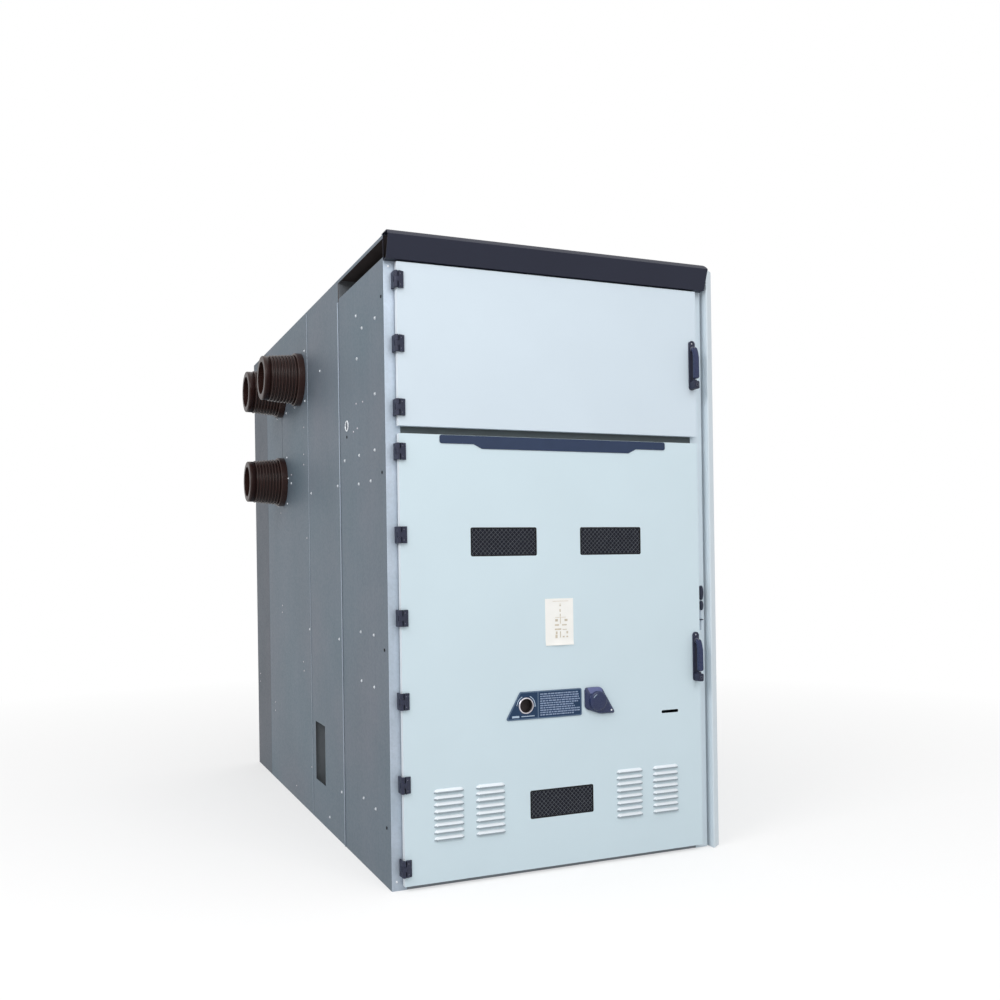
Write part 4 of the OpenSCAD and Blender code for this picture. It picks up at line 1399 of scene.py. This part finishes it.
@dataclass
class Viewpoint:
    """Camera that repeats the photograph's view.

    Attributes:
        place: Position in metres.
        yaw: Turn to the right in degrees.
        roll: Turn about the line of sight in degrees.
        focal: Focal length in pixels of the frame.
        centre: Pixel that the line of sight meets.
        frame: Side of the square frame in pixels.
        sensor: Side of the sensor in millimetres.
    """

    place: Triple = (-1.9452, -5.1558, 1.3119)
    yaw: float = 21.998
    roll: float = 0.828
    focal: float = 996.5
    centre: Pair = (461.7, 558.4)
    frame: float = 1000.0
    sensor: float = 36.0

    def build(self) -> None:
        """Make the camera and use it."""
        data = bpy.data.cameras.new("view")
        data.sensor_width = self.sensor
        data.lens = self.focal / self.frame * self.sensor
        data.shift_x = 0.5 - self.centre[0] / self.frame
        data.shift_y = self.centre[1] / self.frame - 0.5
        camera = bpy.data.objects.new("view", data)
        turn, tilt = math.radians(self.yaw), math.radians(self.roll)
        look = Vector((math.sin(turn), math.cos(turn), 0))
        right = Vector((math.cos(turn), -math.sin(turn), 0))
        down = look.cross(right)
        across = right * math.cos(tilt) + down * math.sin(tilt)
        below = down * math.cos(tilt) - right * math.sin(tilt)
        axes = Matrix((across, -below, -look)).transposed().to_4x4()
        camera.matrix_world = Matrix.Translation(self.place) @ axes
        bpy.context.scene.collection.objects.link(camera)
        bpy.context.scene.camera = camera


@dataclass
class Studio:
    """Pale floor, white surroundings and soft lamps.

    Attributes:
        ambient: Strength of the light from the horizon and from overhead.
        overhead: Upward share of a direction from which it counts as overhead.
        bounce: Share of the light that the floor sends back up.
        pale: Brightness of the floor where it is seen.
        fade: Distances in metres at which the floor starts to fade into the surroundings and has done so.
        glow: Share of the floor's own light where the fade starts.
        reach: Half side of the floor in metres.
        drop: Distance in metres of the floor below the cabinet's foot.
        lamps: Name, position, side in metres and power in watts of each lamp.
        aim: Point in metres that the lamps look at.
    """

    ambient: Pair = (0.36, 0.86)
    overhead: float = 0.9
    bounce: float = 0.62
    pale: float = 0.95
    fade: Pair = (1.5, 6.0)
    glow: float = 0.5
    reach: float = 40.0
    drop: float = 0.0005
    lamps: tuple[tuple[str, Triple, float, float], ...] = (
        ("front_soft_box", (0.3, -6.8, 5.2), 4.4, 147.0),
        ("left_soft_box", (-5.0, -3.6, 4.6), 3.0, 160.0),
    )
    aim: Triple = (0.0, -0.6, 1.2)

    def bright_rays(self, tree: NodeTree) -> NodeSocket:
        """Sum of the ray kinds that see the white background.

        Args:
            tree: Node tree to add to.

        Returns:
            Output that is 1 for those rays and 0 for the others.
        """
        path = add_node(tree, "LightPath").outputs
        seen = add_node(tree, "Math", {0: path["Is Camera Ray"], 1: path["Is Glossy Ray"]}, operation="ADD")
        inputs = {0: seen.outputs[0], 1: path["Is Transmission Ray"]}
        return add_node(tree, "Math", inputs, operation="ADD", use_clamp=True).outputs[0]

    def build_world(self) -> None:
        """Make surroundings that are white to look at and give most of their light from overhead."""
        world = bpy.data.worlds.new("studio")
        bpy.context.scene.world = world
        world.use_nodes = True
        tree = world.node_tree
        ray = add_node(tree, "TexCoord").outputs["Generated"]
        height = add_node(tree, "SeparateXYZ", {0: ray}).outputs["Z"]
        low, high = self.ambient
        rise = {"Value": height, "From Min": 0.0, "From Max": self.overhead, "To Min": low, "To Max": high}
        above = add_node(tree, "MapRange", rise).outputs["Result"]
        limits = {"Value": self.bright_rays(tree), "To Min": above, "To Max": 1.0}
        strength = add_node(tree, "MapRange", limits).outputs["Result"]
        feed(tree, tree.nodes["Background"], {"Strength": strength, "Color": WHITE})

    def floor_material(self) -> Material:
        """Make the floor's finish, which keeps the soft shadow and fades into the white surroundings.

        Returns:
            The node material.
        """
        material = bpy.data.materials.new("studio_floor")
        material.use_nodes = True
        tree = material.node_tree
        shader = tree.nodes["Principled BSDF"]
        bright = self.bright_rays(tree)
        shade = add_node(tree, "MapRange", {"Value": bright, "To Min": self.bounce, "To Max": self.pale})
        feed(tree, shader, {"Base Color": shade.outputs["Result"], "Roughness": 0.9})
        light = add_node(tree, "Emission", {"Color": WHITE, "Strength": 1.0}).outputs[0]
        place = add_node(tree, "TexCoord").outputs["Object"]
        away = add_node(tree, "VectorMath", {0: place}, operation="LENGTH").outputs["Value"]
        near, far = self.fade
        fade = {"Value": away, "From Min": near, "From Max": far, "To Min": self.glow, "To Max": 1.0}
        share = add_node(tree, "MapRange", fade).outputs["Result"]
        seen = add_node(tree, "Math", {0: share, 1: bright}, operation="MULTIPLY").outputs[0]
        mix = add_node(tree, "MixShader", {0: seen, 1: shader.outputs[0], 2: light})
        feed(tree, tree.nodes["Material Output"], {"Surface": mix.outputs[0]})
        return material

    def build_floor(self) -> None:
        """Lay the pale floor."""
        mesh = bmesh.new()
        bmesh.ops.create_grid(mesh, x_segments=1, y_segments=1, size=self.reach)
        data = bpy.data.meshes.new("floor")
        mesh.to_mesh(data)
        mesh.free()
        data.materials.append(self.floor_material())
        floor = bpy.data.objects.new("floor", data)
        floor.location.z = -self.drop
        bpy.context.scene.collection.objects.link(floor)

    def build_lamps(self) -> None:
        """Hang the soft boxes, each looking at the middle of the cabinet."""
        for name, place, side, power in self.lamps:
            data = bpy.data.lights.new(name, "AREA")
            data.shape = "SQUARE"
            data.size = side
            data.energy = power
            lamp = bpy.data.objects.new(name, data)
            lamp.location = place
            aim = Vector(self.aim) - Vector(place)
            lamp.rotation_euler = aim.to_track_quat("-Z", "Y").to_euler()
            bpy.context.scene.collection.objects.link(lamp)

    def build(self) -> None:
        """Make the whole studio."""
        self.build_world()
        self.build_floor()
        self.build_lamps()
        bpy.context.scene.view_settings.view_transform = "Standard"


def main() -> None:
    """Build the scene in order."""
    logging.basicConfig(level=logging.INFO)
    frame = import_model()
    Viewpoint().build()
    Studio().build()
    Solids(frame).build()
    trim = (Fasteners(), WallTrim(), DoorSeals(), Keeper())
    fittings = (WindowGuards(), PanelPrint(), TripCover(), DiagramSheet(), DoorHardware())
    for part in trim + fittings:
        part.build()


if __name__ == "__main__":
    main()
